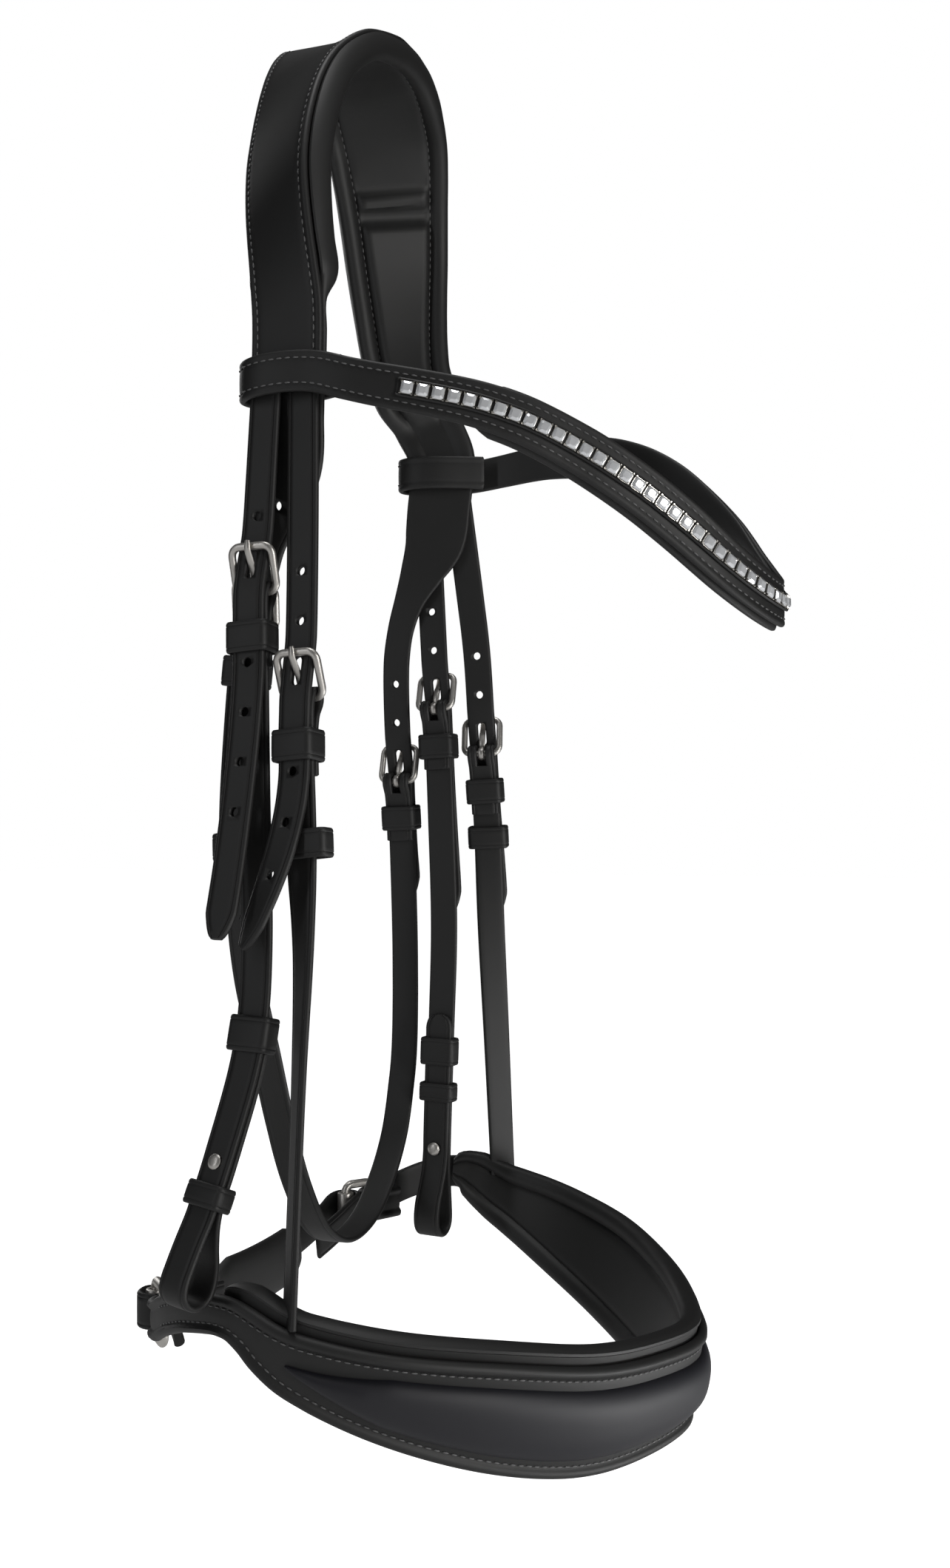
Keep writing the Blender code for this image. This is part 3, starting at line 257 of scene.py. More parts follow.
class BridleSettings(PropertyGroup):
    """Sizes and colours of the finished bridle."""

    leather_colour: FloatVectorProperty(
        name="Leather", description="Colour of the smooth outer leather", subtype="COLOR", size=4,
        min=0.0, max=1.0, default=(0.0035, 0.0035, 0.004, 1.0))
    padding_colour: FloatVectorProperty(
        name="Padding", description="Colour of the soft lining leather", subtype="COLOR", size=4,
        min=0.0, max=1.0, default=(0.006, 0.006, 0.0065, 1.0))
    # rim colour: partly the real burnish of the strap edges, partly a painted highlight that stands in for
    # the light catching their rounded edges
    rim_burnish_highlight_colour: FloatVectorProperty(
        name="Edge burnish and painted highlight", description="Colour of the strap edges: burnish plus a painted highlight", subtype="COLOR", size=4,
        min=0.0, max=1.0, default=(0.075, 0.075, 0.076, 1.0))
    steel_colour: FloatVectorProperty(
        name="Steel", description="Colour of the buckles and rings", subtype="COLOR", size=4,
        min=0.0, max=1.0, default=(0.66, 0.64, 0.60, 1.0))
    stone_colour: FloatVectorProperty(
        name="Stones", description="Colour of the cut stones", subtype="COLOR", size=4,
        min=0.0, max=1.0, default=(0.92, 0.94, 0.97, 1.0))
    stitch_pitch: FloatProperty(
        name="Stitch pitch", description="Distance from one stitch to the next", unit="LENGTH",
        default=STITCH_PITCH, min=1.0 * MM, max=8.0 * MM)
    stitch_length: FloatProperty(
        name="Stitch length", description="Length of the thread that shows", unit="LENGTH",
        default=STITCH_L, min=0.5 * MM, max=6.0 * MM)
    thread: FloatProperty(
        name="Thread", description="Thickness of the sewing thread", unit="LENGTH",
        default=THREAD_T, min=0.2 * MM, max=1.5 * MM)
    stone_pitch: FloatProperty(
        name="Stone pitch", description="Distance from one stone to the next", unit="LENGTH",
        default=STONE_PITCH, min=3.0 * MM, max=10.0 * MM)
    stone_size: FloatProperty(
        name="Stone size", description="Width of one square stone", unit="LENGTH",
        default=4.2 * MM, min=2.0 * MM, max=8.0 * MM)
    grain_size: FloatProperty(
        name="Grain size", description="Width of one cell of the leather's grain", unit="LENGTH",
        default=0.9 * MM, min=0.2 * MM, max=4.0 * MM)


def settings():
    return bpy.context.scene.bridle


# ---------------------------------------------------------------- curves

def spline(rows, steps):
    """Catmull-Rom through rows of numbers; each row keeps its columns."""
    rows = [tuple(float(x) for x in row) for row in rows]
    ends = [rows[0]] + rows + [rows[-1]]
    out = []
    for i in range(1, len(ends) - 2):
        a, b, c, d = ends[i - 1:i + 3]
        for j in range(steps):
            t = j / steps
            out.append(tuple(
                0.5 * (2 * q + (r - p) * t + (2 * p - 5 * q + 4 * r - s) * t ** 2
                       + (3 * q - p - 3 * r + s) * t ** 3)
                for p, q, r, s in zip(a, b, c, d)))
    out.append(rows[-1])
    return out


def tangents(points):
    """The direction at each point halves the angle between the runs that meet there."""
    runs = [(b - a).normalized() for a, b in zip(points, points[1:])]
    return [runs[0]] + [(a + b).normalized() for a, b in zip(runs, runs[1:])] + [runs[-1]]


def square_to(vector, axis):
    return (vector - axis * vector.dot(axis)).normalized()


def away(vector, reference):
    return vector if vector.dot(reference) > 0 else -vector


def steps_between(start, end, step):
    count = max(1, round((end - start) / step))
    return [start + (end - start) * k / count for k in range(count + 1)]


def side_letter(side):
    return "R" if side < 0 else "L"


def round_turns(sides):
    """Even angles all the way round."""
    return [2 * math.pi * k / sides for k in range(sides)]


class Strand:
    """The middle surface of a hanging strap: s runs down it, o is the way out from the head, v the width."""

    def __init__(self, side, rows):
        fine = spline(rows, 12)
        self.points = [Vector((side * out, y, z)) for z, out, y, _ in fine]
        self.tans = tangents(self.points)
        turns = [math.radians(row[3]) for row in fine]
        fronts = [Vector((side * math.sin(a), -math.cos(a), 0.0)) for a in turns]
        self.widths = [square_to(front, t) for front, t in zip(fronts, self.tans)]
        self.side = side
        self.lengths = [0.0]
        for a, b in zip(self.points, self.points[1:]):
            self.lengths.append(self.lengths[-1] + (b - a).length)

    def at(self, s):
        if s <= 0.0:
            return self.points[0] + self.tans[0] * s, self.tans[0], self.widths[0]
        if s >= self.lengths[-1]:
            return self.points[-1] + self.tans[-1] * (s - self.lengths[-1]), self.tans[-1], self.widths[-1]
        i = next(k for k, length in enumerate(self.lengths) if length > s) - 1
        f = (s - self.lengths[i]) / (self.lengths[i + 1] - self.lengths[i])
        tan = self.tans[i].lerp(self.tans[i + 1], f).normalized()
        width = square_to(self.widths[i].lerp(self.widths[i + 1], f), tan)
        return self.points[i].lerp(self.points[i + 1], f), tan, width

    def out_dir(self, s):
        _, tan, width = self.at(s)
        return away(tan.cross(width), Vector((self.side, 0, 0)))

    def put(self, s, o, v=0.0):
        point, _, width = self.at(s)
        return point + self.out_dir(s) * o + width * v

    def s_at_z(self, z):
        i = next(k for k, p in enumerate(self.points) if p.z <= z)
        a, b = self.points[i - 1], self.points[i]
        return self.lengths[i - 1] + (self.lengths[i] - self.lengths[i - 1]) * (a.z - z) / (a.z - b.z)


def flow(keys, places, step):
    """Rows at close steps on a smooth curve through keys, which stand at the given places along it."""
    keys, places = np.array(keys, float), np.array(places, float)
    gaps = np.diff(places)[:, None]
    slopes = np.diff(keys, axis=0) / gaps
    rates = np.vstack([slopes[:1], (slopes[1:] * gaps[:-1] + slopes[:-1] * gaps[1:]) / (gaps[1:] + gaps[:-1]),
                       slopes[-1:]])
    out = []
    for i, gap in enumerate(gaps[:, 0]):
        count = max(1, math.ceil(gap / step))
        for t in np.arange(count) / count:
            out.append((1 + 2 * t) * (1 - t) ** 2 * keys[i] + t * (1 - t) ** 2 * gap * rates[i]
                       + t * t * (3 - 2 * t) * keys[i + 1] + t * t * (t - 1) * gap * rates[i + 1])
    out.append(keys[-1])
    return np.array(out)


class Rail:
    """A strap's middle line with its width direction, facing, width and thickness at each station."""

    def __init__(self, points, across, widths, thicks, facing=None, step=1.8):
        count = len(points)
        widths = widths if isinstance(widths, (list, tuple)) else [widths] * count
        thicks = thicks if isinstance(thicks, (list, tuple)) else [thicks] * count
        places = [0.0]
        for a, b in zip(points, points[1:]):
            places.append(places[-1] + (b - a).length)
        keys = [(*p, *a, w, t) for p, a, w, t in zip(points, across, widths, thicks)]
        rows = flow(keys, places, step)
        self.points = rows[:, :3]
        self.tans = unit(np.gradient(self.points, axis=0))
        self.across = unit(rows[:, 3:6] - self.tans * np.sum(rows[:, 3:6] * self.tans, axis=1)[:, None])
        self.faces = np.cross(self.tans, self.across)
        middle = len(rows) // 2
        if facing is not None and np.dot(self.faces[middle], np.array(facing)) < 0:
            self.faces = -self.faces
        self.widths, self.thicks = rows[:, 6], rows[:, 7]
        self.runs = np.concatenate([[0.0], np.cumsum(np.linalg.norm(np.diff(self.points, axis=0), axis=1))])

    def left(self, i):
        """Distance from a station to the nearer end."""
        return min(self.runs[i], self.runs[-1] - self.runs[i])

    def beside(self, inset, height, start=0.0, end=0.0, side=1):
        """Points in from one edge of the facing side, with their facing, clear of the ends."""
        keep = (self.runs >= start) & (self.runs <= self.runs[-1] - end)
        lift = self.faces * (self.thicks / 2 * height)[:, None]
        points = self.points + self.across * (side * (self.widths / 2 - inset))[:, None] + lift
        return points[keep], self.faces[keep]


def unit(rows):
    return rows / np.maximum(np.linalg.norm(rows, axis=1), 1e-9)[:, None]


# ---------------------------------------------------------------- meshes

def section(face, back, width, thick, face_mid=1.0, back_mid=1.0):
    """A closed outline (v, o, rim) from half tables for the face and the back, squeezed on a narrow strap."""
    half, top = width / 2, thick / 2
    squeeze = min(1.0, half * 0.9 / max(face[0][0], back[0][0]))
    right = [(half - d * squeeze, h * top, r) for d, h, r in face]
    right += [(half - d * squeeze, -h * top, r) for d, h, r in reversed(back)]
    left = [(-v, o, r) for v, o, r in reversed(right)]
    return [(0.0, face_mid * top, 0.0)] + right + [(0.0, -back_mid * top, 0.0)] + left


def place(points):
    """Millimetres in the routes' frame become metres in the model's frame."""
    return [(Vector(p) - ORIGIN_MM) * MM for p in points]


def add_piece(name, mesh, mat, smooth_under=44.0):
    """Puts a mesh into the scene with outward faces, one material and soft shading."""
    work = bmesh.new()
    work.from_mesh(mesh)
    bmesh.ops.recalc_face_normals(work, faces=work.faces)
    work.to_mesh(mesh)
    work.free()
    mesh.shade_smooth()
    mesh.set_sharp_from_angle(angle=math.radians(smooth_under))
    obj = bpy.data.objects.new(name, mesh)
    bpy.context.collection.objects.link(obj)
    if mat:
        mesh.materials.append(mat)
    return obj


def grid_mesh(name, rings, runs, rims, closed):
    """Skins rings of points; u runs along and v around in metres, and rim marks the edges that get the
    burnish and the painted highlight.
    """
    count, around = len(rings), len(rings[0])
    verts = [p for ring in rings for p in place(ring)]
    faces = []
    for i in range(count if closed else count - 1):
        j = (i + 1) % count
        for k in range(around):
            m = (k + 1) % around
            faces.append((around * i + k, around * i + m, around * j + m, around * j + k))
    if not closed:
        faces += [tuple(range(around)), tuple(around * (count - 1) + k for k in range(around))]
    mesh = bpy.data.meshes.new(name)
    mesh.from_pydata(verts, [], faces)
    girth = [0.0]
    for a, b in zip(rings[count // 2], rings[count // 2][1:]):
        girth.append(girth[-1] + (Vector(b) - Vector(a)).length)
    along = mesh.uv_layers.new(name="strap")
    corners = np.zeros(len(mesh.loops), int)
    mesh.loops.foreach_get("vertex_index", corners)
    pairs = np.stack([np.array(runs)[corners // around], np.array(girth)[corners % around]], axis=1) * MM
    along.data.foreach_set("uv", pairs.astype(np.float32).ravel())
    # rim: mask of the edge tone, real burnish plus painted highlight
    rim = mesh.attributes.new("rim", "FLOAT", "POINT")
    rim.data.foreach_set("value", np.tile(np.array(rims, np.float32), count))
    return mesh


def sweep(name, rail, mat, face=STRAP_FACE, back=STRAP_BACK, face_mid=1.02, outline=None):
    """A strap along a rail; outline(i, width, thick) may give a section of its own at each station."""
    rings, rims = [], []
    for i, (p, a, f) in enumerate(zip(rail.points, rail.across, rail.faces)):
        size = (rail.widths[i], rail.thicks[i])
        rows = outline(i, *size) if outline else section(face, back, *size, face_mid)
        rings.append([p + a * v + f * o for v, o, _ in rows])
        rims = [r for _, _, r in rows]
    caps = []
    for end, way in ((0, -1), (-1, 1)):
        centre = rail.points[end] + rail.tans[end] * (way * 0.35)
        caps.append([centre + (np.array(q) - rail.points[end]) * 0.9 for q in rings[end]])
    rings = [caps[0]] + rings + [caps[1]]
    runs = [rail.runs[0] - 0.3, *rail.runs, rail.runs[-1] + 0.3]
    return add_piece(name, grid_mesh(name, rings, runs, rims, False), mat)


def loop_sweep(name, points, across, faces, width, thick, mat, face, back, face_mid=1.02):
    """A closed band or wire round a ring of points."""
    rows = section(face, back, width, thick, face_mid)
    rings = [[p + a * v + f * o for v, o, _ in rows] for p, a, f in zip(points, across, faces)]
    runs = [float(i) for i in range(len(points))]
    return add_piece(name, grid_mesh(name, rings, runs, [r for _, _, r in rows], True), mat)


def wire(name, points, normal, radius, mat, flat=1.0, sides=14):
    """A closed ring of round wire in one plane; flat squashes it along the plane's normal."""
    count = len(points)
    rings = []
    for i, p in enumerate(points):
        tan = (points[(i + 1) % count] - points[i - 1]).normalized()
        across = tan.cross(normal).normalized()
        rings.append([p + across * (radius * math.cos(a)) + normal * (radius * flat * math.sin(a))
                      for a in round_turns(sides)])
    runs = [float(i) for i in range(count)]
    return add_piece(name, grid_mesh(name, rings, runs, [0.0] * sides, True), mat, 80.0)


def lathe(name, base, axis, profile, mat, sides=28):
    """A turned piece: profile is (height, radius) pairs along axis from base."""
    side_dir = axis.orthogonal().normalized()
    other = axis.cross(side_dir)
    turns = round_turns(sides)
    rings = [[base + axis * h + side_dir * (r * math.cos(a)) + other * (r * math.sin(a)) for a in turns]
             for h, r in profile]
    return add_piece(name, grid_mesh(name, rings, [h for h, _ in profile], [0.0] * sides, False), mat, 50.0)


def prism(points, axis, half):
    """Vertices and faces of an extruded outline that cuts a slot or a hole."""
    n = len(points)
    verts = place([p - axis * half for p in points] + [p + axis * half for p in points])
    faces = [tuple(range(n)), tuple(range(2 * n - 1, n - 1, -1))]
    faces += [(k, (k + 1) % n, n + (k + 1) % n, n + k) for k in range(n)]
    return verts, faces


def carve(obj, prisms):
    """Cuts every prism out of a piece in one Boolean."""
    verts, faces = [], []
    for some, more in prisms:
        faces += [tuple(k + len(verts) for k in f) for f in more]
        verts += some
    mesh = bpy.data.meshes.new("cutter")
    mesh.from_pydata(verts, [], faces)
    cutter = add_piece("cutter", mesh, None)
    cut = obj.modifiers.new("holes", "BOOLEAN")
    cut.operation, cut.solver, cut.object = "DIFFERENCE", "EXACT", cutter
    settle(obj)
    bpy.data.objects.remove(cutter, do_unlink=True)


def settle(obj):
    """Turns what the modifiers make into the piece's own mesh."""
    graph = bpy.context.evaluated_depsgraph_get()
    mesh = bpy.data.meshes.new_from_object(
        obj.evaluated_get(graph), preserve_all_data_layers=True, depsgraph=graph)
    obj.modifiers.clear()
    obj.data = mesh


def give(obj, body, slot_name, *nodes):
    """Puts a finished piece on its body, in place of its plain solids; slot_name is not used."""
    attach(obj, body)
    if nodes:
        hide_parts(*nodes)
    return obj


def strap(name, body, look, rail, cuts=(), slot_name=None, **shape):
    """A swept piece, cut by prisms, on its body in place of its plain solid."""
    obj = sweep(name + "_finish", rail, finish(look), **shape)
    if cuts:
        carve(obj, cuts)
    return give(obj, body, slot_name or look, name)


# ---------------------------------------------------------------- node trees

def socket(tree, name, kind, way="INPUT", default=None):
    made = tree.interface.new_socket(name=name, in_out=way, socket_type=kind)
    if default is not None:
        made.default_value = default
    return made


def follow_path(tree, inputs, pitch):
    """Points at an even pitch along the input path, and a turn that lays X along it and Z on its facing."""
    nodes, links = tree.nodes, tree.links
    curve = nodes.new("GeometryNodeMeshToCurve")
    links.new(inputs.outputs["Path"], curve.inputs[0])
    spaced = nodes.new("GeometryNodeResampleCurve")
    spaced.mode = "LENGTH"
    links.new(curve.outputs[0], spaced.inputs["Curve"])
    links.new(inputs.outputs[pitch], spaced.inputs["Length"])
    points = nodes.new("GeometryNodeCurveToPoints")
    points.mode = "EVALUATED"
    links.new(spaced.outputs[0], points.inputs[0])
    along = nodes.new("FunctionNodeAlignRotationToVector")
    along.axis = "X"
    links.new(points.outputs["Tangent"], along.inputs["Vector"])
    facing = nodes.new("GeometryNodeInputNamedAttribute")
    facing.data_type = "FLOAT_VECTOR"
    facing.inputs["Name"].default_value = "facing"
    upright = nodes.new("FunctionNodeAlignRotationToVector")
    upright.axis, upright.pivot_axis = "Z", "X"
    links.new(along.outputs[0], upright.inputs["Rotation"])
    links.new(facing.outputs["Attribute"], upright.inputs["Vector"])
    return points, upright


def finish_tree(tree, inputs, points, turn, instance):
    """Places the instance on the points, makes it real and gives it the material."""
    nodes, links = tree.nodes, tree.links
    put = nodes.new("GeometryNodeInstanceOnPoints")
    links.new(points.outputs[0], put.inputs["Points"])
    links.new(instance, put.inputs["Instance"])
    links.new(turn.outputs[0], put.inputs["Rotation"])
    real = nodes.new("GeometryNodeRealizeInstances")
    links.new(put.outputs[0], real.inputs[0])
    coat = nodes.new("GeometryNodeSetMaterial")
    links.new(real.outputs[0], coat.inputs[0])
    links.new(inputs.outputs["Finish"], coat.inputs["Material"])
    out = nodes.new("NodeGroupOutput")
    links.new(coat.outputs[0], out.inputs[0])


def path_tree(name, *inputs):
    """A new tree that takes a path, the inputs given and a finish."""
    tree = bpy.data.node_groups.new(name, "GeometryNodeTree")
    socket(tree, "Result", "NodeSocketGeometry", "OUTPUT")
    socket(tree, "Path", "NodeSocketGeometry")
    for title, kind, default in inputs:
        socket(tree, title, kind, default=default)
    socket(tree, "Finish", "NodeSocketMaterial")
    return tree, tree.nodes.new("NodeGroupInput")


def stitch_tree():
    """A row of stitches: small rounded lengths of thread lying along the path."""
    tree = bpy.data.node_groups.get("Stitch row")
    if tree:
        return tree
    tree, inputs = path_tree(
        "Stitch row", ("Pitch", "NodeSocketFloat", STITCH_PITCH), ("Length", "NodeSocketFloat", STITCH_L),
        ("Thread", "NodeSocketFloat", THREAD_T))
    nodes, links = tree.nodes, tree.links
    points, turn = follow_path(tree, inputs, "Pitch")
    bead = nodes.new("GeometryNodeMeshUVSphere")
    bead.inputs["Segments"].default_value = 6
    bead.inputs["Rings"].default_value = 5
    bead.inputs["Radius"].default_value = 0.5
    size = nodes.new("ShaderNodeCombineXYZ")
    links.new(inputs.outputs["Length"], size.inputs["X"])
    links.new(inputs.outputs["Thread"], size.inputs["Y"])
    links.new(inputs.outputs["Thread"], size.inputs["Z"])
    shape = nodes.new("GeometryNodeTransform")
    links.new(bead.outputs["Mesh"], shape.inputs["Geometry"])
    links.new(size.outputs[0], shape.inputs["Scale"])
    finish_tree(tree, inputs, points, turn, shape.outputs[0])
    return tree


def stone_tree():
    """A row of given pieces, such as cut stones or their settings, standing along the path."""
    tree = bpy.data.node_groups.get("Stone row")
    if tree:
        return tree
    tree, inputs = path_tree(
        "Stone row", ("Pitch", "NodeSocketFloat", STONE_PITCH), ("Stone", "NodeSocketObject", None))
    points, turn = follow_path(tree, inputs, "Pitch")
    stone = tree.nodes.new("GeometryNodeObjectInfo")
    tree.links.new(inputs.outputs["Stone"], stone.inputs["Object"])
    finish_tree(tree, inputs, points, turn, stone.outputs["Geometry"])
    return tree


def run_tree(name, rows, tree, values):
    """Runs a tree on rows of (points, facings) and returns the plain mesh piece."""
    verts, edges, facings = [], [], []
    for points, faces in rows:
        start = len(verts)
        verts += place(points)
        facings += [tuple(f) for f in faces]
        edges += [(start + k, start + k + 1) for k in range(len(points) - 1)]
    mesh = bpy.data.meshes.new(name)
    mesh.from_pydata(verts, edges, [])
    facing = mesh.attributes.new("facing", "FLOAT_VECTOR", "POINT")
    facing.data.foreach_set("vector", np.array(facings, np.float32).ravel())
    obj = bpy.data.objects.new(name, mesh)
    bpy.context.collection.objects.link(obj)
    repeat = obj.modifiers.new("row", "NODES")
    repeat.node_group = tree
    for item in tree.interface.items_tree:
        if item.in_out == "INPUT" and item.name in values:
            repeat[item.identifier] = values[item.name]
    settle(obj)
    obj.data.shade_smooth()
    return obj


def stitches(name, body, rows):
    """Sewing along rows of (points, facings), on one body."""
    sizes = settings()
    values = {"Pitch": sizes.stitch_pitch, "Length": sizes.stitch_length, "Thread": sizes.thread,
              "Finish": finish("thread")}
    obj = run_tree(name, rows, stitch_tree(), values)
    return give(obj, body, "strap_leather")


# ---------------------------------------------------------------- finishes

def shader_group(name, inputs, outputs):
    tree = bpy.data.node_groups.new(name, "ShaderNodeTree")
    for title, kind, default in inputs:
        socket(tree, title, kind, default=default)
    for title, kind in outputs:
        socket(tree, title, kind, "OUTPUT")
    return tree, tree.nodes.new("NodeGroupInput"), tree.nodes.new("NodeGroupOutput")


def maths(tree, operation, a, b=None, clamp=False):
    node = tree.nodes.new("ShaderNodeMath")
    node.operation, node.use_clamp = operation, clamp
    for k, value in enumerate((a, b)):
        if value is None:
            continue
        if isinstance(value, (int, float)):
            node.inputs[k].default_value = value
        else:
            tree.links.new(value, node.inputs[k])
    return node.outputs[0]


def blend(tree, factor, first, second, kind="RGBA"):
    """A value between two by a factor; each is a plain colour or another node's output."""
    mix = tree.nodes.new("ShaderNodeMix")
    mix.data_type = kind
    tree.links.new(factor, mix.inputs["Factor"])
    for title, value in (("A", first), ("B", second)):
        if isinstance(value, tuple):
            mix.inputs[title].default_value = value
        else:
            tree.links.new(value, mix.inputs[title])
    return mix.outputs["Result"]


def toned(colour, share):
    """A colour made darker or lighter, opaque."""
    return tuple(share * c for c in colour[:3]) + (1.0,)


def noise(tree, vector, scale, detail=3.0, rough=0.5):
    node = tree.nodes.new("ShaderNodeTexNoise")
    node.inputs["Detail"].default_value = detail
    node.inputs["Roughness"].default_value = rough
    tree.links.new(vector, node.inputs["Vector"])
    if isinstance(scale, (int, float)):
        node.inputs["Scale"].default_value = scale
    else:
        tree.links.new(scale, node.inputs["Scale"])
    return node.outputs["Fac"]


def grain_group():
    """Fine cells with creases between them, and slow patches where the hide is smoother."""
    tree = bpy.data.node_groups.get("Leather grain")
    if tree:
        return tree
    tree, a, out = shader_group(
        "Leather grain",
        (("Vector", "NodeSocketVector", None), ("Cell Scale", "NodeSocketFloat", 1100.0),
         ("Wrinkle", "NodeSocketFloat", 0.4)),
        (("Height", "NodeSocketFloat"), ("Patch", "NodeSocketFloat")))
    cells = tree.nodes.new("ShaderNodeTexVoronoi")
    cells.feature = "DISTANCE_TO_EDGE"
    cells.inputs["Randomness"].default_value = 0.9
    tree.links.new(a.outputs["Vector"], cells.inputs["Vector"])
    tree.links.new(a.outputs["Cell Scale"], cells.inputs["Scale"])
    pebble = maths(tree, "MULTIPLY", maths(tree, "MINIMUM", cells.outputs["Distance"], 0.22), 3.2)
    fine = noise(tree, a.outputs["Vector"], maths(tree, "MULTIPLY", a.outputs["Cell Scale"], 1.7), 2.0)
    slow = noise(tree, a.outputs["Vector"], 55.0, 4.0, 0.6)
    folds = maths(tree, "MULTIPLY", noise(tree, a.outputs["Vector"], 210.0, 3.0, 0.6), a.outputs["Wrinkle"])
    height = maths(tree, "ADD", maths(tree, "ADD", pebble, maths(tree, "MULTIPLY", fine, 0.35)), folds)
    tree.links.new(height, out.inputs["Height"])
    tree.links.new(slow, out.inputs["Patch"])
    return tree


def rim_group():
    """Edges that are burnished and carry a painted highlight: where the rim mask is high the dye is greyer,
    with a little unevenness.
    """
    tree = bpy.data.node_groups.get("Rim burnish and painted highlight")
    if tree:
        return tree
    tree, a, out = shader_group(
        "Rim burnish and painted highlight",
        (("Vector", "NodeSocketVector", None), ("Rim", "NodeSocketFloat", 0.0),
         ("Patch", "NodeSocketFloat", 0.5), ("Dye", "NodeSocketColor", (0.01, 0.01, 0.01, 1)),
         ("Burnish And Highlight", "NodeSocketColor", (0.03, 0.03, 0.03, 1)),
         ("Rough", "NodeSocketFloat", 0.4), ("Rim Rough", "NodeSocketFloat", 0.3)),
        (("Color", "NodeSocketColor"), ("Roughness", "NodeSocketFloat")))
    uneven = noise(tree, a.outputs["Vector"], 160.0, 3.0, 0.6)
    # share of the edge tone, real burnish plus painted highlight, made uneven by noise
    burnish_and_highlight = maths(tree, "MULTIPLY", a.outputs["Rim"], maths(tree, "ADD", uneven, 0.35), clamp=True)
    tree.links.new(blend(tree, burnish_and_highlight, a.outputs["Dye"], a.outputs["Burnish And Highlight"]), out.inputs["Color"])
    rough = blend(tree, burnish_and_highlight, a.outputs["Rough"], a.outputs["Rim Rough"], "FLOAT")
    swing = maths(tree, "MULTIPLY", maths(tree, "SUBTRACT", a.outputs["Patch"], 0.5), 0.22)
    tree.links.new(maths(tree, "ADD", rough, swing, clamp=True), out.inputs["Roughness"])
    return tree


def scuff_group():
    """Fine directional scuffs and dull patches on polished metal."""
    tree = bpy.data.node_groups.get("Metal scuffs")
    if tree:
        return tree
    tree, a, out = shader_group(
        "Metal scuffs",
        (("Vector", "NodeSocketVector", None), ("Polish", "NodeSocketFloat", 0.18),
         ("Spread", "NodeSocketFloat", 0.16)),
        (("Roughness", "NodeSocketFloat"), ("Height", "NodeSocketFloat")))
    stretch = tree.nodes.new("ShaderNodeMapping")
    stretch.inputs["Scale"].default_value = (1.0, 1.0, 0.15)
    tree.links.new(a.outputs["Vector"], stretch.inputs["Vector"])
    fine = noise(tree, stretch.outputs[0], 2600.0, 2.0)
    slow = noise(tree, a.outputs["Vector"], 240.0, 3.0)
    spread = maths(tree, "MULTIPLY", a.outputs["Spread"], 0.5)
    mixed = maths(tree, "MULTIPLY", maths(tree, "ADD", fine, slow), spread)
    tree.links.new(maths(tree, "ADD", a.outputs["Polish"], mixed, clamp=True), out.inputs["Roughness"])
    tree.links.new(fine, out.inputs["Height"])
    return tree


def new_material(name):
    mat = bpy.data.materials.new(name)
    mat.use_nodes = True
    tree = mat.node_tree
    shader = tree.nodes["Principled BSDF"]
    coords = tree.nodes.new("ShaderNodeTexCoord").outputs["Object"]
    return mat, tree, shader, coords


def place_group(tree, group, links, values=None):
    node = tree.nodes.new("ShaderNodeGroup")
    node.node_tree = group
    for title, source in links.items():
        tree.links.new(source, node.inputs[title])
    for title, value in (values or {}).items():
        node.inputs[title].default_value = value
    return node


def bump(tree, shader, height, strength, distance):
    node = tree.nodes.new("ShaderNodeBump")
    node.inputs["Strength"].default_value = strength
    node.inputs["Distance"].default_value = distance
    tree.links.new(height, node.inputs["Height"])
    tree.links.new(node.outputs["Normal"], shader.inputs["Normal"])


def leather(name, dye, burnish_and_highlight, rough, rim_rough, cell, wrinkle, depth, coat=0.0, sheen=0.0):
    mat, tree, shader, coords = new_material(name)
    grain = place_group(tree, grain_group(), {"Vector": coords},
                        {"Cell Scale": 1.0 / cell, "Wrinkle": wrinkle})
    rim = tree.nodes.new("ShaderNodeAttribute")
    rim.attribute_name = "rim"
    edge = place_group(tree, rim_group(),
                       {"Vector": coords, "Rim": rim.outputs["Fac"], "Patch": grain.outputs["Patch"]},
                       {"Dye": dye, "Burnish And Highlight": burnish_and_highlight, "Rough": rough, "Rim Rough": rim_rough})
    # base colour: the dye, lightened at the rims as burnish and as a painted edge highlight
    tree.links.new(edge.outputs["Color"], shader.inputs["Base Color"])
    tree.links.new(edge.outputs["Roughness"], shader.inputs["Roughness"])
    shader.inputs["Coat Weight"].default_value = coat
    shader.inputs["Coat Roughness"].default_value = 0.18
    shader.inputs["Sheen Weight"].default_value = sheen
    shader.inputs["Sheen Roughness"].default_value = 0.5
    shader.inputs["Specular IOR Level"].default_value = 0.3 if coat < 0.5 else 0.6
    bump(tree, shader, grain.outputs["Height"], 0.6, depth)
    return mat


def metal(name, colour, polish, spread):
    mat, tree, shader, coords = new_material(name)
    scuffs = place_group(tree, scuff_group(), {"Vector": coords}, {"Polish": polish, "Spread": spread})
    tone = blend(tree, scuffs.outputs["Roughness"], colour, toned(colour, 0.82))
    tree.links.new(tone, shader.inputs["Base Color"])
    tree.links.new(scuffs.outputs["Roughness"], shader.inputs["Roughness"])
    shader.inputs["Metallic"].default_value = 1.0
    bump(tree, shader, scuffs.outputs["Height"], 0.12, 0.00004)
    return mat


def thread_finish(dye):
    """Waxed thread with a twist across each stitch."""
    mat, tree, shader, coords = new_material("thread")
    twist = noise(tree, coords, 2400.0, 2.0)
    tree.links.new(blend(tree, twist, dye, toned(dye, 2.2)), shader.inputs["Base Color"])
    shader.inputs["Roughness"].default_value = 0.45
    bump(tree, shader, twist, 0.5, 0.0001)
    return mat


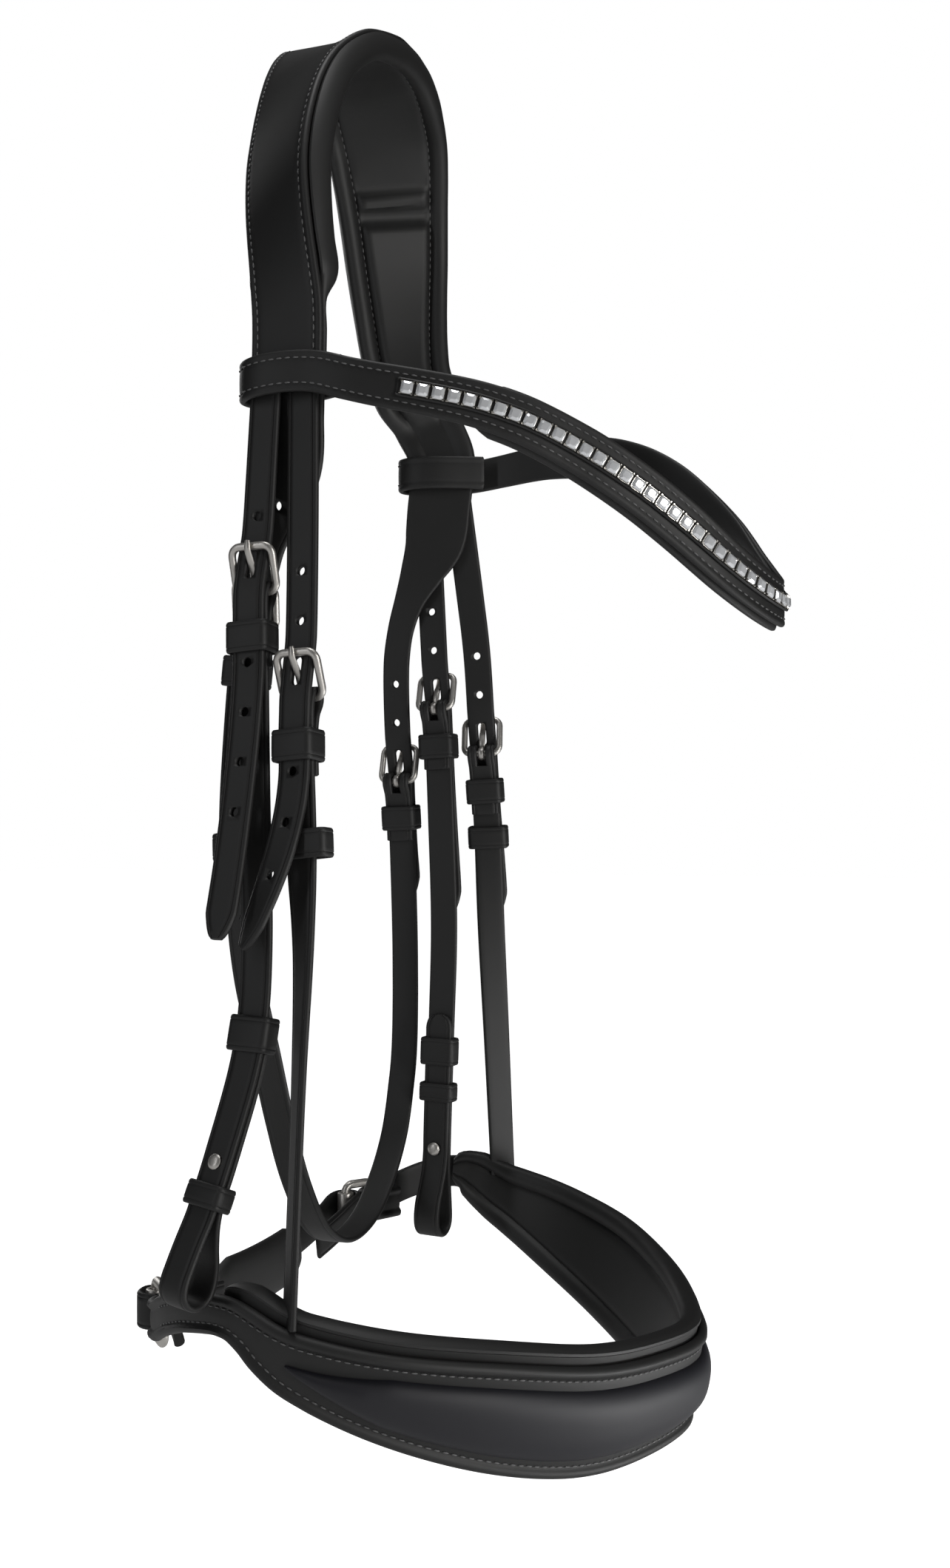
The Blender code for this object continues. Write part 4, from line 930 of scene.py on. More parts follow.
def stone_finish(colour):
    """Foil-backed cut stone: bright and mirror-like, with a little cloud from stone to stone."""
    mat, tree, shader, coords = new_material("cut_stone")
    cloud = noise(tree, coords, 190.0, 1.0)
    tree.links.new(blend(tree, cloud, colour, toned(colour, 0.7)), shader.inputs["Base Color"])
    shader.inputs["Metallic"].default_value = 0.35
    shader.inputs["Roughness"].default_value = 0.08
    shader.inputs["Coat Weight"].default_value = 1.0
    shader.inputs["Coat Roughness"].default_value = 0.02
    return mat


def finish(name):
    """The named material, made on first use."""
    mat = bpy.data.materials.get(name)
    if mat:
        return mat
    look = settings()
    # the rim colour is lighter than the dye as burnish and as a painted highlight on the strap edges; it also
    # colours the thread
    dye, soft, burnish_and_highlight = tuple(look.leather_colour), tuple(look.padding_colour), tuple(look.rim_burnish_highlight_colour)
    cell = look.grain_size
    if name == "outer_leather":
        return leather(name, dye, burnish_and_highlight, 0.3, 0.26, cell, 0.35, 0.00005, coat=0.15)
    if name == "strap_leather":
        return leather(name, dye, burnish_and_highlight, 0.34, 0.26, cell * 0.8, 0.45, 0.00004, coat=0.08)
    if name == "padding":
        return leather(name, soft, soft, 0.46, 0.46, cell * 1.2, 0.9, 0.00008, sheen=0.04)
    if name == "glossy_leather":
        return leather(name, dye, dye, 0.16, 0.16, cell * 1.3, 0.7, 0.000015, coat=0.8)
    if name == "steel":
        return metal(name, tuple(look.steel_colour), 0.16, 0.18)
    if name == "stone_setting":
        return metal(name, tuple(look.steel_colour), 0.2, 0.1)
    if name == "cut_stone":
        return stone_finish(tuple(look.stone_colour))
    if name == "thread":
        return thread_finish(burnish_and_highlight)
    raise ValueError("no finish called " + name)


# ---------------------------------------------------------------- crown

def crown_frames():
    rows = spline(CROWN_ROUTE, 2)
    points = [Vector(row[:3]) for row in rows]
    tans = tangents(points)
    turns = [math.radians(row[4]) for row in rows]
    across = [square_to(Vector((math.sin(a), -math.cos(a), 0)), t) for a, t in zip(turns, tans)]
    outs = [away(t.cross(a), p - Vector((8, p.y, 50))) for a, t, p in zip(across, tans, points)]
    return rows, points, across, outs


def ramp(value, low, high):
    """0 below low, 1 above high, smooth between."""
    t = min(1.0, max(0.0, (value - low) / (high - low)))
    return t * t * (3 - 2 * t)


def lining_depth(inset, panel):
    """Share of the lining's thickness at a distance from its edge: a roll, a sewn groove, then the middle."""
    table = ((0.0, 0.5), (0.25, 0.68), (0.8, 0.84), (2.0, 0.97), (3.8, 1.0), (5.6, 0.95), (7.0, 0.82),
             (7.9, 0.66), (8.4, 0.6), (8.9, 0.64), (9.8, 0.6 + 0.3 * panel), (11.4, 0.6 + 0.4 * panel),
             (30.0, 0.6 + 0.4 * panel))
    for (a, x), (b, y) in zip(table, table[1:]):
        if inset <= b:
            return x + (y - x) * (inset - a) / (b - a)
    return table[-1][1]


LINING_INSETS = (0.0, 0.25, 0.8, 2.0, 3.8, 5.6, 7.0, 7.9, 8.4, 8.9, 9.8, 11.4, 13.0)
LINING_TOP = ((2.6, 0.0), (1.9, -0.1), (1.0, -0.08), (0.4, 0.08), (0.1, 0.28))


def lining_outline(width, thick, panel, squeeze_half=14.0, crest=1.0):
    """The padding's section: against the leather it is flat, to the head it is rolled and channelled."""
    half = width / 2
    squeeze = min(1.0, half / squeeze_half)
    right = [(half - d * squeeze, thick * (0.5 - h * crest), 0.0) for d, h in LINING_TOP]
    right += [(half - d * squeeze, thick * (0.5 - lining_depth(d, panel)), 0.0) for d in LINING_INSETS
              if d * squeeze < half]
    middle = (0.0, thick * (0.5 - lining_depth(20.0, panel)), 0.0)
    return [(0.0, thick * 0.5, 0.0)] + right + [middle] + [(-v, o, r) for v, o, r in reversed(right)]


def make_crown():
    rows, points, across, outs = crown_frames()
    ends = [k for k, row in enumerate(rows) if row[2] > CROWN_FOOT_Z]
    keep = slice(ends[0], ends[-1] + 1)
    top = outs[len(rows) // 2]
    body = "crown"
    rail = Rail(points[keep], across[keep], [row[3] for row in rows[keep]], CROWN_T, top)
    strap("crown_leather", body, "outer_leather", rail, face=SEWN_FACE)
    stitches("crown_stitches", body, [rail.beside(SEAM_IN, 0.93, 2.0, 2.0, side) for side in (-1, 1)])

    centres, widths, thicks = [], [], []
    for row, p, out in zip(rows, points, outs):
        grow = min(1.0, max(0.0, (row[2] - TAB_END_Z) / 8.0))
        thick = TAB_T + (LINING_T - TAB_T) * grow
        centres.append(p - out * (CROWN_T / 2 + 0.4 + thick / 2))
        widths.append(row[3] - 0.5 + LINING_PROUD * grow)
        thicks.append(thick)
    soft = Rail(centres[keep], across[keep], widths[keep], thicks[keep], top)

    def outline(i, width, thick):
        z = soft.points[i][2]
        panel = ramp(z, 6.0, 22.0) * (1.0 - ramp(z, 100.0, 106.0)) + 0.9 * ramp(z, 108.0, 111.0) * (
            1.0 - ramp(z, 113.0, 118.0)) + 0.25 * ramp(z, 116.0, 126.0)
        return lining_outline(width, thick, panel)

    strap("crown_lining", body, "padding", soft, outline=outline)
    sewn = [soft.beside(8.4, -0.2, SEAM_CLEAR, SEAM_CLEAR, side) for side in (-1, 1)]
    stitches("lining_stitches", body, sewn)


# ---------------------------------------------------------------- chains

def billet_path(bar_s, tip_s, flare):
    """Path (s, o, v) of a billet: down the strand, over the fold at the bar, then free to the tip."""
    stand, drift = flare
    path = [(-HIDDEN, 0.0, 0.0)]
    path += [(s, 0.0, 0.0) for s in steps_between(6.0, bar_s - 26.0, 10.0)]
    path += [(bar_s - 20.0, 0.1, 0.0), (bar_s - 15.0, 0.65, 0.0), (bar_s - 10.0, 1.35, 0.0),
             (bar_s - 5.0, 2.1, 0.0), (bar_s, 2.75, 0.0), (bar_s + 6.0, 2.8, 0.0)]
    free_from = bar_s + 26.0
    tail = steps_between(bar_s + 16.0, tip_s - 12.0, 10.0)
    tail += [tip_s - d for d in (8.5, 6.0, 3.5, 1.8, 0.7, 0.1)]
    for s in tail:
        f = max(0.0, (s - free_from) / (tip_s - free_from))
        path.append((s, 2.8 + stand * f ** 1.4, -drift * f ** 1.4))
    return path


def tail_width(left, width):
    """Full width down to the last 9 mm, then drawn in to a blunt point."""
    return width if left >= 8.9 else width * (0.3 + 0.7 * math.sqrt(max(0.0, left) / 9.0))


def billet_width(chain, s):
    if chain != "throat" or s >= THROAT_TABS[-1][0]:
        return STRAP_W
    for (s0, w0), (s1, w1) in zip(THROAT_TABS, THROAT_TABS[1:]):
        if s <= s1:
            return w0 + (w1 - w0) * max(0.0, s - s0) / (s1 - s0)
    return STRAP_W


def hole_stations(bar_s, tip_s, path):
    """(s, o, v) of the spare holes: two above the buckle and those left in the tail."""
    out = []
    for k in (-2, -1, 2, 3, 4, 5):
        s = bar_s - 9.0 + k * HOLE_PITCH
        if not 30.0 < s < tip_s - 22.0:
            continue
        a, b = next((p, q) for p, q in zip(path, path[1:]) if p[0] <= s <= q[0])
        f = (s - a[0]) / (b[0] - a[0])
        out.append((s, a[1] + (b[1] - a[1]) * f, a[2] + (b[2] - a[2]) * f))
    return out


def punch(strand, station, radius=HOLE_R, sides=14, depth=4.0):
    s, o, v = station
    turns = round_turns(sides)
    ring = [strand.put(s + radius * math.cos(a), o, v + radius * math.sin(a)) for a in turns]
    return prism(ring, strand.out_dir(s), depth)


def tongue_slot(strand, bar_s):
    """An oval slot in the billet through which the tongue comes out."""
    half = HOLE_W / 2
    ring = []
    for centre, start in ((bar_s - HOLE_TOP + half, 90), (bar_s - HOLE_LOW - half, -90)):
        for k in range(9):
            a = math.radians(start + 22.5 * k)
            ring.append(strand.put(centre + half * math.cos(a), 1.4, half * math.sin(a)))
    return prism(ring, strand.out_dir(bar_s - 9.0), 5.0)


def make_billet(chain, side, strand):
    bar_s, tip_s = strand.s_at_z(BAR_Z[chain, side]), strand.s_at_z(TIP_Z[chain])
    path = billet_path(bar_s, tip_s, TAIL_FLARE[chain, side])
    if chain == "throat":
        path = [(s, o, v) for s, o, v in path if s > 64.0 or s < 1.0]
        path[1:1] = [(s, 0.0, 0.0) for s, _ in THROAT_TABS]
    points = [strand.put(*p) for p in path]
    across = [strand.at(p[0])[2] for p in path]
    widths = [tail_width(tip_s - p[0], billet_width(chain, p[0])) for p in path]
    rail = Rail(points, across, widths, BILLET_T, strand.out_dir(bar_s - 30.0))
    letter = side_letter(side)
    body = {"cheek": "cheek_" + letter, "nose": "crown", "throat": "throatlash"}[chain]
    cuts = [tongue_slot(strand, bar_s)] + [punch(strand, p) for p in hole_stations(bar_s, tip_s, path)]
    strap(chain + "_billet_" + letter, body, "strap_leather", rail, cuts)


def fold_path(bar_s):
    """Path (s, o) of a strap end: up the back, round the bar and down the front."""
    back = [(bar_s + 27.0, -2.6), (bar_s + 10.0, -2.6), (bar_s + 5.5, -3.4), (bar_s + 2.6, -5.0)]
    turns = [math.radians(30 * k) for k in range(7)]
    return back + [(bar_s - FOLD_R * math.sin(a), -FOLD_R - FOLD_R * math.cos(a)) for a in turns]


def fold_slot(strand, bar_s):
    """A slot across the fold that leaves room for the tongue's root."""
    ring = [strand.put(bar_s + s, -FOLD_R, v) for s, v in ((-6, -2.1), (5.4, -2.1), (5.4, 2.1), (-6, 2.1))]
    return prism(ring, strand.out_dir(bar_s), 9.0)


def rounded_loop(half_a, half_b, radius, steps=5):
    """Corners of a rounded rectangle about the origin, in order round it."""
    out = []
    for a, b, start in ((1, 1, 0), (-1, 1, 90), (-1, -1, 180), (1, -1, 270)):
        for k in range(steps + 1):
            turn = math.radians(start + 90 * k / steps)
            out.append((a * (half_a - radius) + radius * math.cos(turn),
                        b * (half_b - radius) + radius * math.sin(turn)))
    return out


def make_buckle(chain, side, strand, body):
    bar_s = strand.s_at_z(BAR_Z[chain, side])
    low, high = strand.put(bar_s, -FOLD_R), strand.put(bar_s - BUCKLE_H, RIM_OUT)
    edge = (high - low).normalized()
    width = strand.at(bar_s)[2]
    reach = (high - low).length / 2
    mid = (low + high) / 2
    points = [mid + width * a + edge * b for a, b in rounded_loop(BUCKLE_HALF_W, reach, 3.4)]
    name = chain + "_buckle_" + side_letter(side)
    obj = wire(name + "_finish", points, edge.cross(width).normalized(), WIRE_R, finish("steel"), 0.9)
    return give(obj, body, "steel", name)


def make_tongue(chain, side, strand):
    bar_s = strand.s_at_z(BAR_Z[chain, side])
    r = WIRE_R + 0.25 + TONGUE_T / 2
    hook = [(bar_s + r * math.sin(math.radians(a)), -FOLD_R + r * math.cos(math.radians(a)))
            for a in (60, 100, 140, 180, 220, 260, 300, 335)]
    shaft = [(bar_s - 4.2, -0.55), (bar_s - 7.6, 1.1), (bar_s - 11.0, 3.9), (bar_s - 13.6, 5.75),
             (bar_s - 16.2, 6.1)]
    points = [strand.put(s, o) for s, o in hook + shaft]
    widths = [TONGUE_W] * (len(points) - 3) + [TONGUE_W * 0.92, TONGUE_W * 0.84, TONGUE_W * 0.7]
    rail = Rail(points, [strand.at(bar_s)[2]] * len(points), widths, TONGUE_T, strand.out_dir(bar_s), 0.8)
    letter = side_letter(side)
    strap(chain + "_tongue_" + letter, "tongue_" + chain + "_" + letter, "steel", rail,
          face=ROUND_FACE, back=ROUND_BACK)


def make_keeper(name, body, strand, s, o_low, o_high, length=KEEPER_L, half_v=STRAP_W / 2, v_mid=0.0):
    """A leather loop round a stack of straps that fills o_low..o_high and half_v to each side of v_mid."""
    grow = GAP + KEEPER_T / 2
    o_mid, half_o, half = (o_low + o_high) / 2, (o_high - o_low) / 2 + grow, half_v + grow
    loop = rounded_loop(half, half_o, 1.7)
    points = [strand.put(s, o_mid + o, v_mid + v) for v, o in loop]
    centre = strand.put(s, o_mid, v_mid)
    down = strand.at(s)[1]
    faces = []
    for i, p in enumerate(points):
        tan = points[(i + 1) % len(points)] - points[i - 1]
        faces.append(away(tan.cross(down).normalized(), p - centre))
    obj = loop_sweep(name + "_finish", points, [down] * len(points), faces, length, KEEPER_T,
                     finish("strap_leather"), STRAP_FACE, STRAP_BACK)
    return give(obj, body, "strap_leather", name)


def hanging_path(bar_s, end_s):
    return fold_path(bar_s) + [(s, 0.0) for s in steps_between(bar_s + 14.0, end_s, 12.0)]


def make_nose_hanger(side):
    strand = Strand(side, CHAINS["nose", side])
    letter = side_letter(side)
    bar_s = strand.s_at_z(BAR_Z["nose", side])
    make_billet("nose", side, strand)
    make_buckle("nose", side, strand, "crown")
    make_tongue("nose", side, strand)
    path = hanging_path(bar_s, strand.lengths[-1] + 10.0)
    rail = Rail([strand.put(s, o) for s, o in path], [strand.at(s)[2] for s, _ in path], STRAP_W, STRAP_T,
                strand.out_dir(bar_s + 80.0))
    strap("nose_hanger_" + letter, "crown", "strap_leather", rail, [fold_slot(strand, bar_s)])
    make_keeper("nose_keeper_" + letter, "crown", strand, bar_s + KEEPER_S, STACK_LOW, STACK_HIGH)
    s = bar_s + RUNNER_S["nose", side]
    name = "nose_runner_" + letter
    if side < 0:
        make_keeper(name, name, strand, s, -STRAP_T / 2, STRAP_T / 2 + 1.6, RUNNER_L, STRAP_W / 2 + 2.2, 2.0)
    else:
        make_keeper(name, name, strand, s, -STRAP_T / 2, STACK_HIGH + 0.4, RUNNER_L, STRAP_W / 2 + 0.8)


def cheekpiece_path(bar_s, side):
    """Fold at the bar, down to the bit loop, round its eye and up the inner side to the tip."""
    end = bar_s + CHEEK_L[side]
    inner = -(STRAP_T + 0.4)
    path = fold_path(bar_s) + [(s, 0.0) for s in steps_between(bar_s + 14.0, end - 28.0, 8.0)]
    path += [(end - 20.0, 0.9), (end - 12.0, 1.7)]
    for k in range(9):
        a = math.radians(22.5 * k)
        path.append((end - EYE_R + EYE_R * math.sin(a), -4.2 + EYE_R * math.cos(a)))
    path += [(end - 13.0, -9.6), (end - 20.0, -6.6), (end - 27.0, -3.9)]
    path += [(s, inner) for s in reversed(steps_between(end - TURN_UP_L + 8.0, end - 34.0, 8.0))]
    path += [(end - TURN_UP_L + d, inner) for d in (5.0, 3.0, 1.4, 0.4, 0.0)]
    widths = [STRAP_W] * (len(path) - 4) + [STRAP_W * f for f in (0.92, 0.8, 0.6, 0.42)]
    return path, widths, end, inner


def make_cheek(side):
    strand = Strand(side, CHAINS["cheek", side])
    letter = side_letter(side)
    body = "cheek_" + letter
    bar_s = strand.s_at_z(BAR_Z["cheek", side])
    make_billet("cheek", side, strand)
    make_buckle("cheek", side, strand, body)
    make_tongue("cheek", side, strand)
    path, widths, end, inner = cheekpiece_path(bar_s, side)
    points = [strand.put(s, o) for s, o in path]
    across = [strand.at(min(s, end - 20.0))[2] for s, _ in path]
    rail = Rail(points, across, widths, STRAP_T, strand.out_dir(bar_s + 150.0), 1.5)
    cuts = [fold_slot(strand, bar_s), punch(strand, (bar_s + STUD_S, inner / 2, 0.0))]
    strap("cheekpiece_" + letter, body, "strap_leather", rail, cuts)
    make_keeper("cheek_keeper_" + letter, body, strand, bar_s + KEEPER_S, STACK_LOW, STACK_HIGH)
    low = inner - STRAP_T / 2 - 0.2
    make_keeper("bit_keeper_" + letter, body, strand, bar_s + BIT_KEEPER_S, low, STRAP_T / 2, 12.0)
    name = "bit_runner_" + letter
    make_keeper(name, name, strand, bar_s + CHEEK_RUNNER_S[side], low, STRAP_T / 2, 8.0)
    s = bar_s + STUD_S
    axis = -strand.out_dir(s)
    depth = 2 * STRAP_T + 0.8
    profile = ((0.0, 0.5), (0.05, 1.4), (0.3, 2.2), (0.7, 2.6), (1.1, 2.5), (1.2, 1.4), (1.3 + depth, 1.3),
               (1.35 + depth, 2.6), (1.7 + depth, 2.9), (2.2 + depth, 2.7), (2.7 + depth, 1.8),
               (2.8 + depth, 0.6))
    name = "hook_stud_" + letter
    stud = lathe(name + "_finish", strand.put(s, STRAP_T / 2 + 1.3), axis, profile, finish("steel"))
    give(stud, body, "steel", name)


def make_throatlash():
    ends, sides = {}, {}
    for side in (-1, 1):
        strand = Strand(side, CHAINS["throat", side])
        letter = side_letter(side)
        bar_s = strand.s_at_z(BAR_Z["throat", side])
        ends[side] = (strand, bar_s)
        make_billet("throat", side, strand)
        make_buckle("throat", side, strand, "throatlash")
        make_tongue("throat", side, strand)
        make_keeper("throat_keeper_" + letter, "throatlash", strand, bar_s + KEEPER_S, STACK_LOW, STACK_HIGH)
        if side < 0:
            make_keeper("throat_runner_R", "throat_runner_R", strand, bar_s + RUNNER_S["throat", side],
                        -STRAP_T / 2, STACK_HIGH + 0.6, RUNNER_L)
        path = hanging_path(bar_s, strand.lengths[-1] - 6.0)
        sides[side] = [strand.put(s, o) for s, o in path], [strand.at(s)[2] for s, _ in path]
    under = [Vector(row) for row in spline(THROAT_BOTTOM, 3)]
    points = sides[-1][0] + under + sides[1][0][::-1]
    across = sides[-1][1] + [Vector((0, -1, 0))] * len(under) + sides[1][1][::-1]
    rail = Rail(points, across, STRAP_W, STRAP_T, (0, 0, -1))
    cuts = [fold_slot(*ends[-1]), fold_slot(*ends[1])]
    strap("throatlash_strap", "throatlash", "strap_leather", rail, cuts)


# ---------------------------------------------------------------- browband

def brow_frames():
    rows = spline(BROW_ROUTE, 2)
    tops = [Vector(row[:3]) for row in rows]
    tans = tangents(tops)
    across = [square_to(UP, t) for t in tans]
    centres = [top - a * (row[3] / 2) for top, a, row in zip(tops, across, rows)]
    outs = [away(t.cross(a), c - Vector((0, -40, c.z))) for t, a, c in zip(tans, across, centres)]
    return rows, centres, across, outs


def brow_loop(side, front):
    """The browband's end: rearward outside the crown's leg, round it and forward inside."""
    turn = math.radians(LEG_TURN)
    along = Vector((side * math.sin(turn), -math.cos(turn), 0))
    out = Vector((side * math.cos(turn), math.sin(turn), 0))
    mid = Vector((side * LEG_X, LEG_Y, front.z))
    o_high = CROWN_T / 2 + 0.9 + BROW_T / 2
    o_low = -CROWN_T / 2 - 0.3 - TAB_T - 0.5 - BROW_T / 2
    half = LEG_HALF_W + 1.7 + BROW_T / 2
    rounds = ((o_high, half - 4.0), (o_high, -half + 1.6), (o_high - 1.6, -half), (o_low + 1.6, -half),
              (o_low, -half + 1.6), (o_low, half - 3.0), (o_low + 1.2, half + 1.6))
    return [mid + out * o + along * v for o, v in rounds]


def pillow(width, thick, seam=0.16, hold=4.0):
    """A stuffed section: full in the middle, drawn in to a thin seam at both edges."""
    half, top = width / 2, thick / 2
    turns = [math.radians(a) for a in (90, 72, 55, 40, 28, 18, 10, 4, 0)]
    right = []
    for a in turns:
        v = half * math.cos(a) ** 0.8
        o = top * (seam + (1 - seam) * (1 - (v / half) ** hold) ** 0.5)
        right.append((v, o))
    right[0] = (0.0, top)
    ring = [(v, o, 0.0) for v, o in right] + [(v, -o, 0.0) for v, o in reversed(right)]
    return ring + [(-v, -o, 0.0) for v, o in right[1:]] + [(-v, o, 0.0) for v, o in reversed(right[1:])]


def solid(name, boxes, mat):
    """Several small convex shapes, each a bottom ring and a top ring of points, as one mesh."""
    work = bmesh.new()
    for rings in boxes:
        rows = [[work.verts.new(Vector(p) * MM) for p in ring] for ring in rings]
        for low, high in zip(rows, rows[1:]):
            n = len(low)
            for k in range(n):
                work.faces.new((low[k], low[(k + 1) % n], high[(k + 1) % n], high[k]))
        work.faces.new(rows[0][::-1])
        work.faces.new(rows[-1])
    bmesh.ops.recalc_face_normals(work, faces=work.faces)
    mesh = bpy.data.meshes.new(name)
    work.to_mesh(mesh)
    work.free()
    mesh.materials.append(mat)
    obj = bpy.data.objects.new(name, mesh)
    bpy.context.collection.objects.link(obj)
    return obj


def square(half, z, cut_off=0.0):
    """A square ring at a height, with its corners cut off by a length."""
    c = half - cut_off
    ring = [(half, -c), (half, c), (c, half), (-c, half), (-half, c), (-half, -c), (-c, -half), (c, -half)]
    return [(x, y, z) for x, y in ring]


def make_stones(rail):
    """Square-cut stones in pronged cups, one after another along the channel."""
    half = settings().stone_size / MM / 2
    cut = [square(half * 0.8, 0.2, half * 0.2), square(half, 0.75, half * 0.28),
           square(half * 0.97, 0.95, half * 0.3), square(half * 0.56, 1.6, half * 0.2)]
    stone = solid("stone", [cut], finish("cut_stone"))
    shapes = [[square(half * 1.06, -0.25, 0.1), square(half * 1.1, 0.5, 0.1)]]
    for x, y in ((1, 1), (-1, 1), (-1, -1), (1, -1)):
        at = half * 0.98
        shapes.append([[(x * at + px, y * at + py, z) for px, py in ((-w, -w), (w, -w), (w, w), (-w, w))]
                       for z, w in ((0.0, 0.42), (1.0, 0.4), (1.3, 0.2))])
    cup = solid("cup", shapes, finish("stone_setting"))
    middle = rail.points - rail.faces * (rail.thicks / 2 * 0.1)[:, None]
    keep = (rail.runs > STONE_CLEAR) & (rail.runs < rail.runs[-1] - STONE_CLEAR)
    rows = [(middle[keep], rail.faces[keep])]
    kinds = (("browband_stones", stone, "cut_stone"), ("browband_cups", cup, "stone_setting"))
    for name, source, coat in kinds:
        obj = run_tree(name, rows, stone_tree(),
                       {"Pitch": settings().stone_pitch, "Stone": source, "Finish": finish(coat)})
        obj.data.shade_flat()
        give(obj, "browband", "crystal_channel")
        bpy.data.objects.remove(source, do_unlink=True)


def make_browband():
    rows, centres, across, outs = brow_frames()
    loops = {side: brow_loop(side, centres[0]) for side in (-1, 1)}
    points = loops[-1][::-1] + centres[3:-3] + loops[1]
    count = len(loops[1])
    dirs = [UP] * count + across[3:-3] + [UP] * count
    widths = [rows[0][3]] * count + [row[3] for row in rows[3:-3]] + [rows[-1][3]] * count
    rail = Rail(points, dirs, widths, BROW_T, (0, -1, 0), 1.4)
    strap("browband_strap", "browband", "outer_leather", rail, face=SEWN_FACE)
    sewn = [rail.beside(SEAM_IN, 0.95, SEAM_CLEAR, SEAM_CLEAR, side) for side in (-1, 1)]
    stitches("browband_stitches", "browband", sewn)

    inner = [c - o * (BROW_T / 2 + 0.2 + BROW_PAD_T / 2) for c, o in zip(centres, outs)]
    mid = slice(8, -8)
    soft = Rail(inner[mid], across[mid], [row[3] + 2.4 for row in rows[mid]], BROW_PAD_T, (0, -1, 0), 2.0)

    def outline(i, width, thick):
        left = soft.left(i)
        shrink = 0.55 + 0.45 * math.sqrt(min(1.0, left / 7.0))
        return pillow(width * shrink, thick * shrink)

    strap("browband_padding", "browband", "padding", soft, outline=outline)
    front = [c + o * (BROW_T / 2 + 0.1 + CHANNEL_T / 2) for c, o in zip(centres, outs)]
    run = slice(5, -5)
    track = Rail(front[run], across[run], CHANNEL_W, CHANNEL_T, (0, -1, 0), 1.8)
    bed = ((2.0, -0.2, 0.0), (1.0, -0.2, 0.0), (0.8, 0.4, 0.0), (0.5, 0.6, 0.3), (0.15, 0.3, 0.8),
           (0.0, -0.2, 1.0))
    strap("browband_channel", "browband", "strap_leather", track, slot_name="crystal_channel",
          face=bed, back=ROUND_BACK, face_mid=-0.2)
    make_stones(track)


# ---------------------------------------------------------------- noseband

def nose_frames():
    """Middle line, width direction, width and facing from the right rear end round the front to the left."""
    right = [(-r[0], r[1], r[2], -r[3], r[4], r[5]) for r in NOSE_FRONT[1:] + NOSE_REAR[-1]]
    rows = spline(right[::-1] + list(NOSE_FRONT + NOSE_REAR[1]), 3)
    tops = [Vector(row[:3]) for row in rows]
    lows = [Vector(row[3:]) for row in rows]
    centres = [(a + b) / 2 for a, b in zip(tops, lows)]
    across = [square_to(a - b, t) for a, b, t in zip(tops, lows, tangents(centres))]
    widths = [(a - b).length for a, b in zip(tops, lows)]
    outs = [away(t.cross(a), c - Vector((0, -20, c.z)))
            for t, a, c in zip(tangents(centres), across, centres)]
    return centres, across, widths, outs


def ring_place(side):
    """The last centre of the noseband on one side, the way on, its outward way and the near bar's middle."""
    centres, _, _, _ = nose_frames()
    end, before = (centres[0], centres[1]) if side < 0 else (centres[-1], centres[-2])
    way = end - before
    way = Vector((way.x, way.y, 0)).normalized()
    out = away(Vector((way.y, -way.x, 0)), Vector((side, 0, 0)))
    return end, way, out, RING_WIRE_R + 0.3 + NOSE_T / 2


def nose_end_fold(side):
    """The noseband's end turned inward round the near bar of its ring."""
    end, way, out, r = ring_place(side)
    bar = end + way * 3.0 - out * r
    arc = [bar + way * (r * math.sin(math.radians(a))) + out * (r * math.cos(math.radians(a)))
           for a in (30, 60, 90, 120, 150, 180)]
    return arc + [bar - way * 5.0 - out * (r - 0.4), bar - way * 13.0 - out * (r - 1.6)]


def make_noseband():
    body = "noseband"
    centres, across, widths, outs = nose_frames()
    folds = {side: nose_end_fold(side) for side in (-1, 1)}
    points = folds[-1][::-1] + centres + folds[1]
    count = len(folds[1])
    dirs = [UP] * count + across + [UP] * count
    wide = [widths[0]] * count + widths + [widths[-1]] * count
    rail = Rail(points, dirs, wide, NOSE_T, (0, -1, 0))
    strap("noseband_leather", body, "outer_leather", rail, face=BEAD_FACE, face_mid=0.92)
    squeeze = np.minimum(1.0, rail.widths / 2 * 0.9 / BEAD_FACE[0][0])
    rows = [rail.beside(4.7 * squeeze, 0.84, SEAM_CLEAR, SEAM_CLEAR, side) for side in (-1, 1)]
    stitches("noseband_stitches", body, rows)

    shift = NOSE_T / 2 + 0.2 + NOSE_PAD_T / 2
    inner = [c - o * shift + a * (NOSE_PAD_PROUD / 2 - 0.5) for c, o, a in zip(centres, outs, across)]
    mid = slice(8, -8)
    wide = [w + NOSE_PAD_PROUD + 1.0 for w in widths[mid]]
    soft = Rail(inner[mid], across[mid], wide, NOSE_PAD_T, (0, -1, 0))

    def outline(i, width, thick):
        left = soft.left(i)
        shrink = 0.5 + 0.5 * math.sqrt(min(1.0, left / 10.0))
        return lining_outline(width * shrink, thick * shrink, 0.35, 15.0)

    strap("noseband_padding", body, "padding", soft, outline=outline)

    run = slice(12, -12)
    base = [c + o * (NOSE_T / 2 - 0.5) - a * 0.5 for c, o, a in zip(centres, outs, across)]
    dome_rail = Rail(base[run], across[run], [max(8.0, w - 15.0) for w in widths[run]], NOSE_FRONT_T + 1.0,
                     (0, -1, 0), 1.6)

    def dome(i, width, thick):
        left = dome_rail.left(i)
        shrink = 0.12 + 0.88 * min(1.0, left / 34.0) ** 0.7
        half, high = width / 2 * shrink, thick * (0.25 + 0.75 * min(1.0, left / 26.0) ** 0.6)
        shares = [k / 9 for k in range(10)]
        right = [half * math.sin(f * math.pi / 2) for f in shares]
        top = [(v, 0.3 + (high - 0.3) * max(0.0, 1 - (v / half) ** 2.6) ** 0.6, 0.0) for v in right]
        return top + [(half, 0.0, 0.0), (0.0, 0.0, 0.0), (-half, 0.0, 0.0)] + [
            (-v, o, r) for v, o, r in reversed(top[1:])]

    strap("noseband_front", body, "glossy_leather", dome_rail, outline=dome)
    for side in (-1, 1):
        make_ring(side)


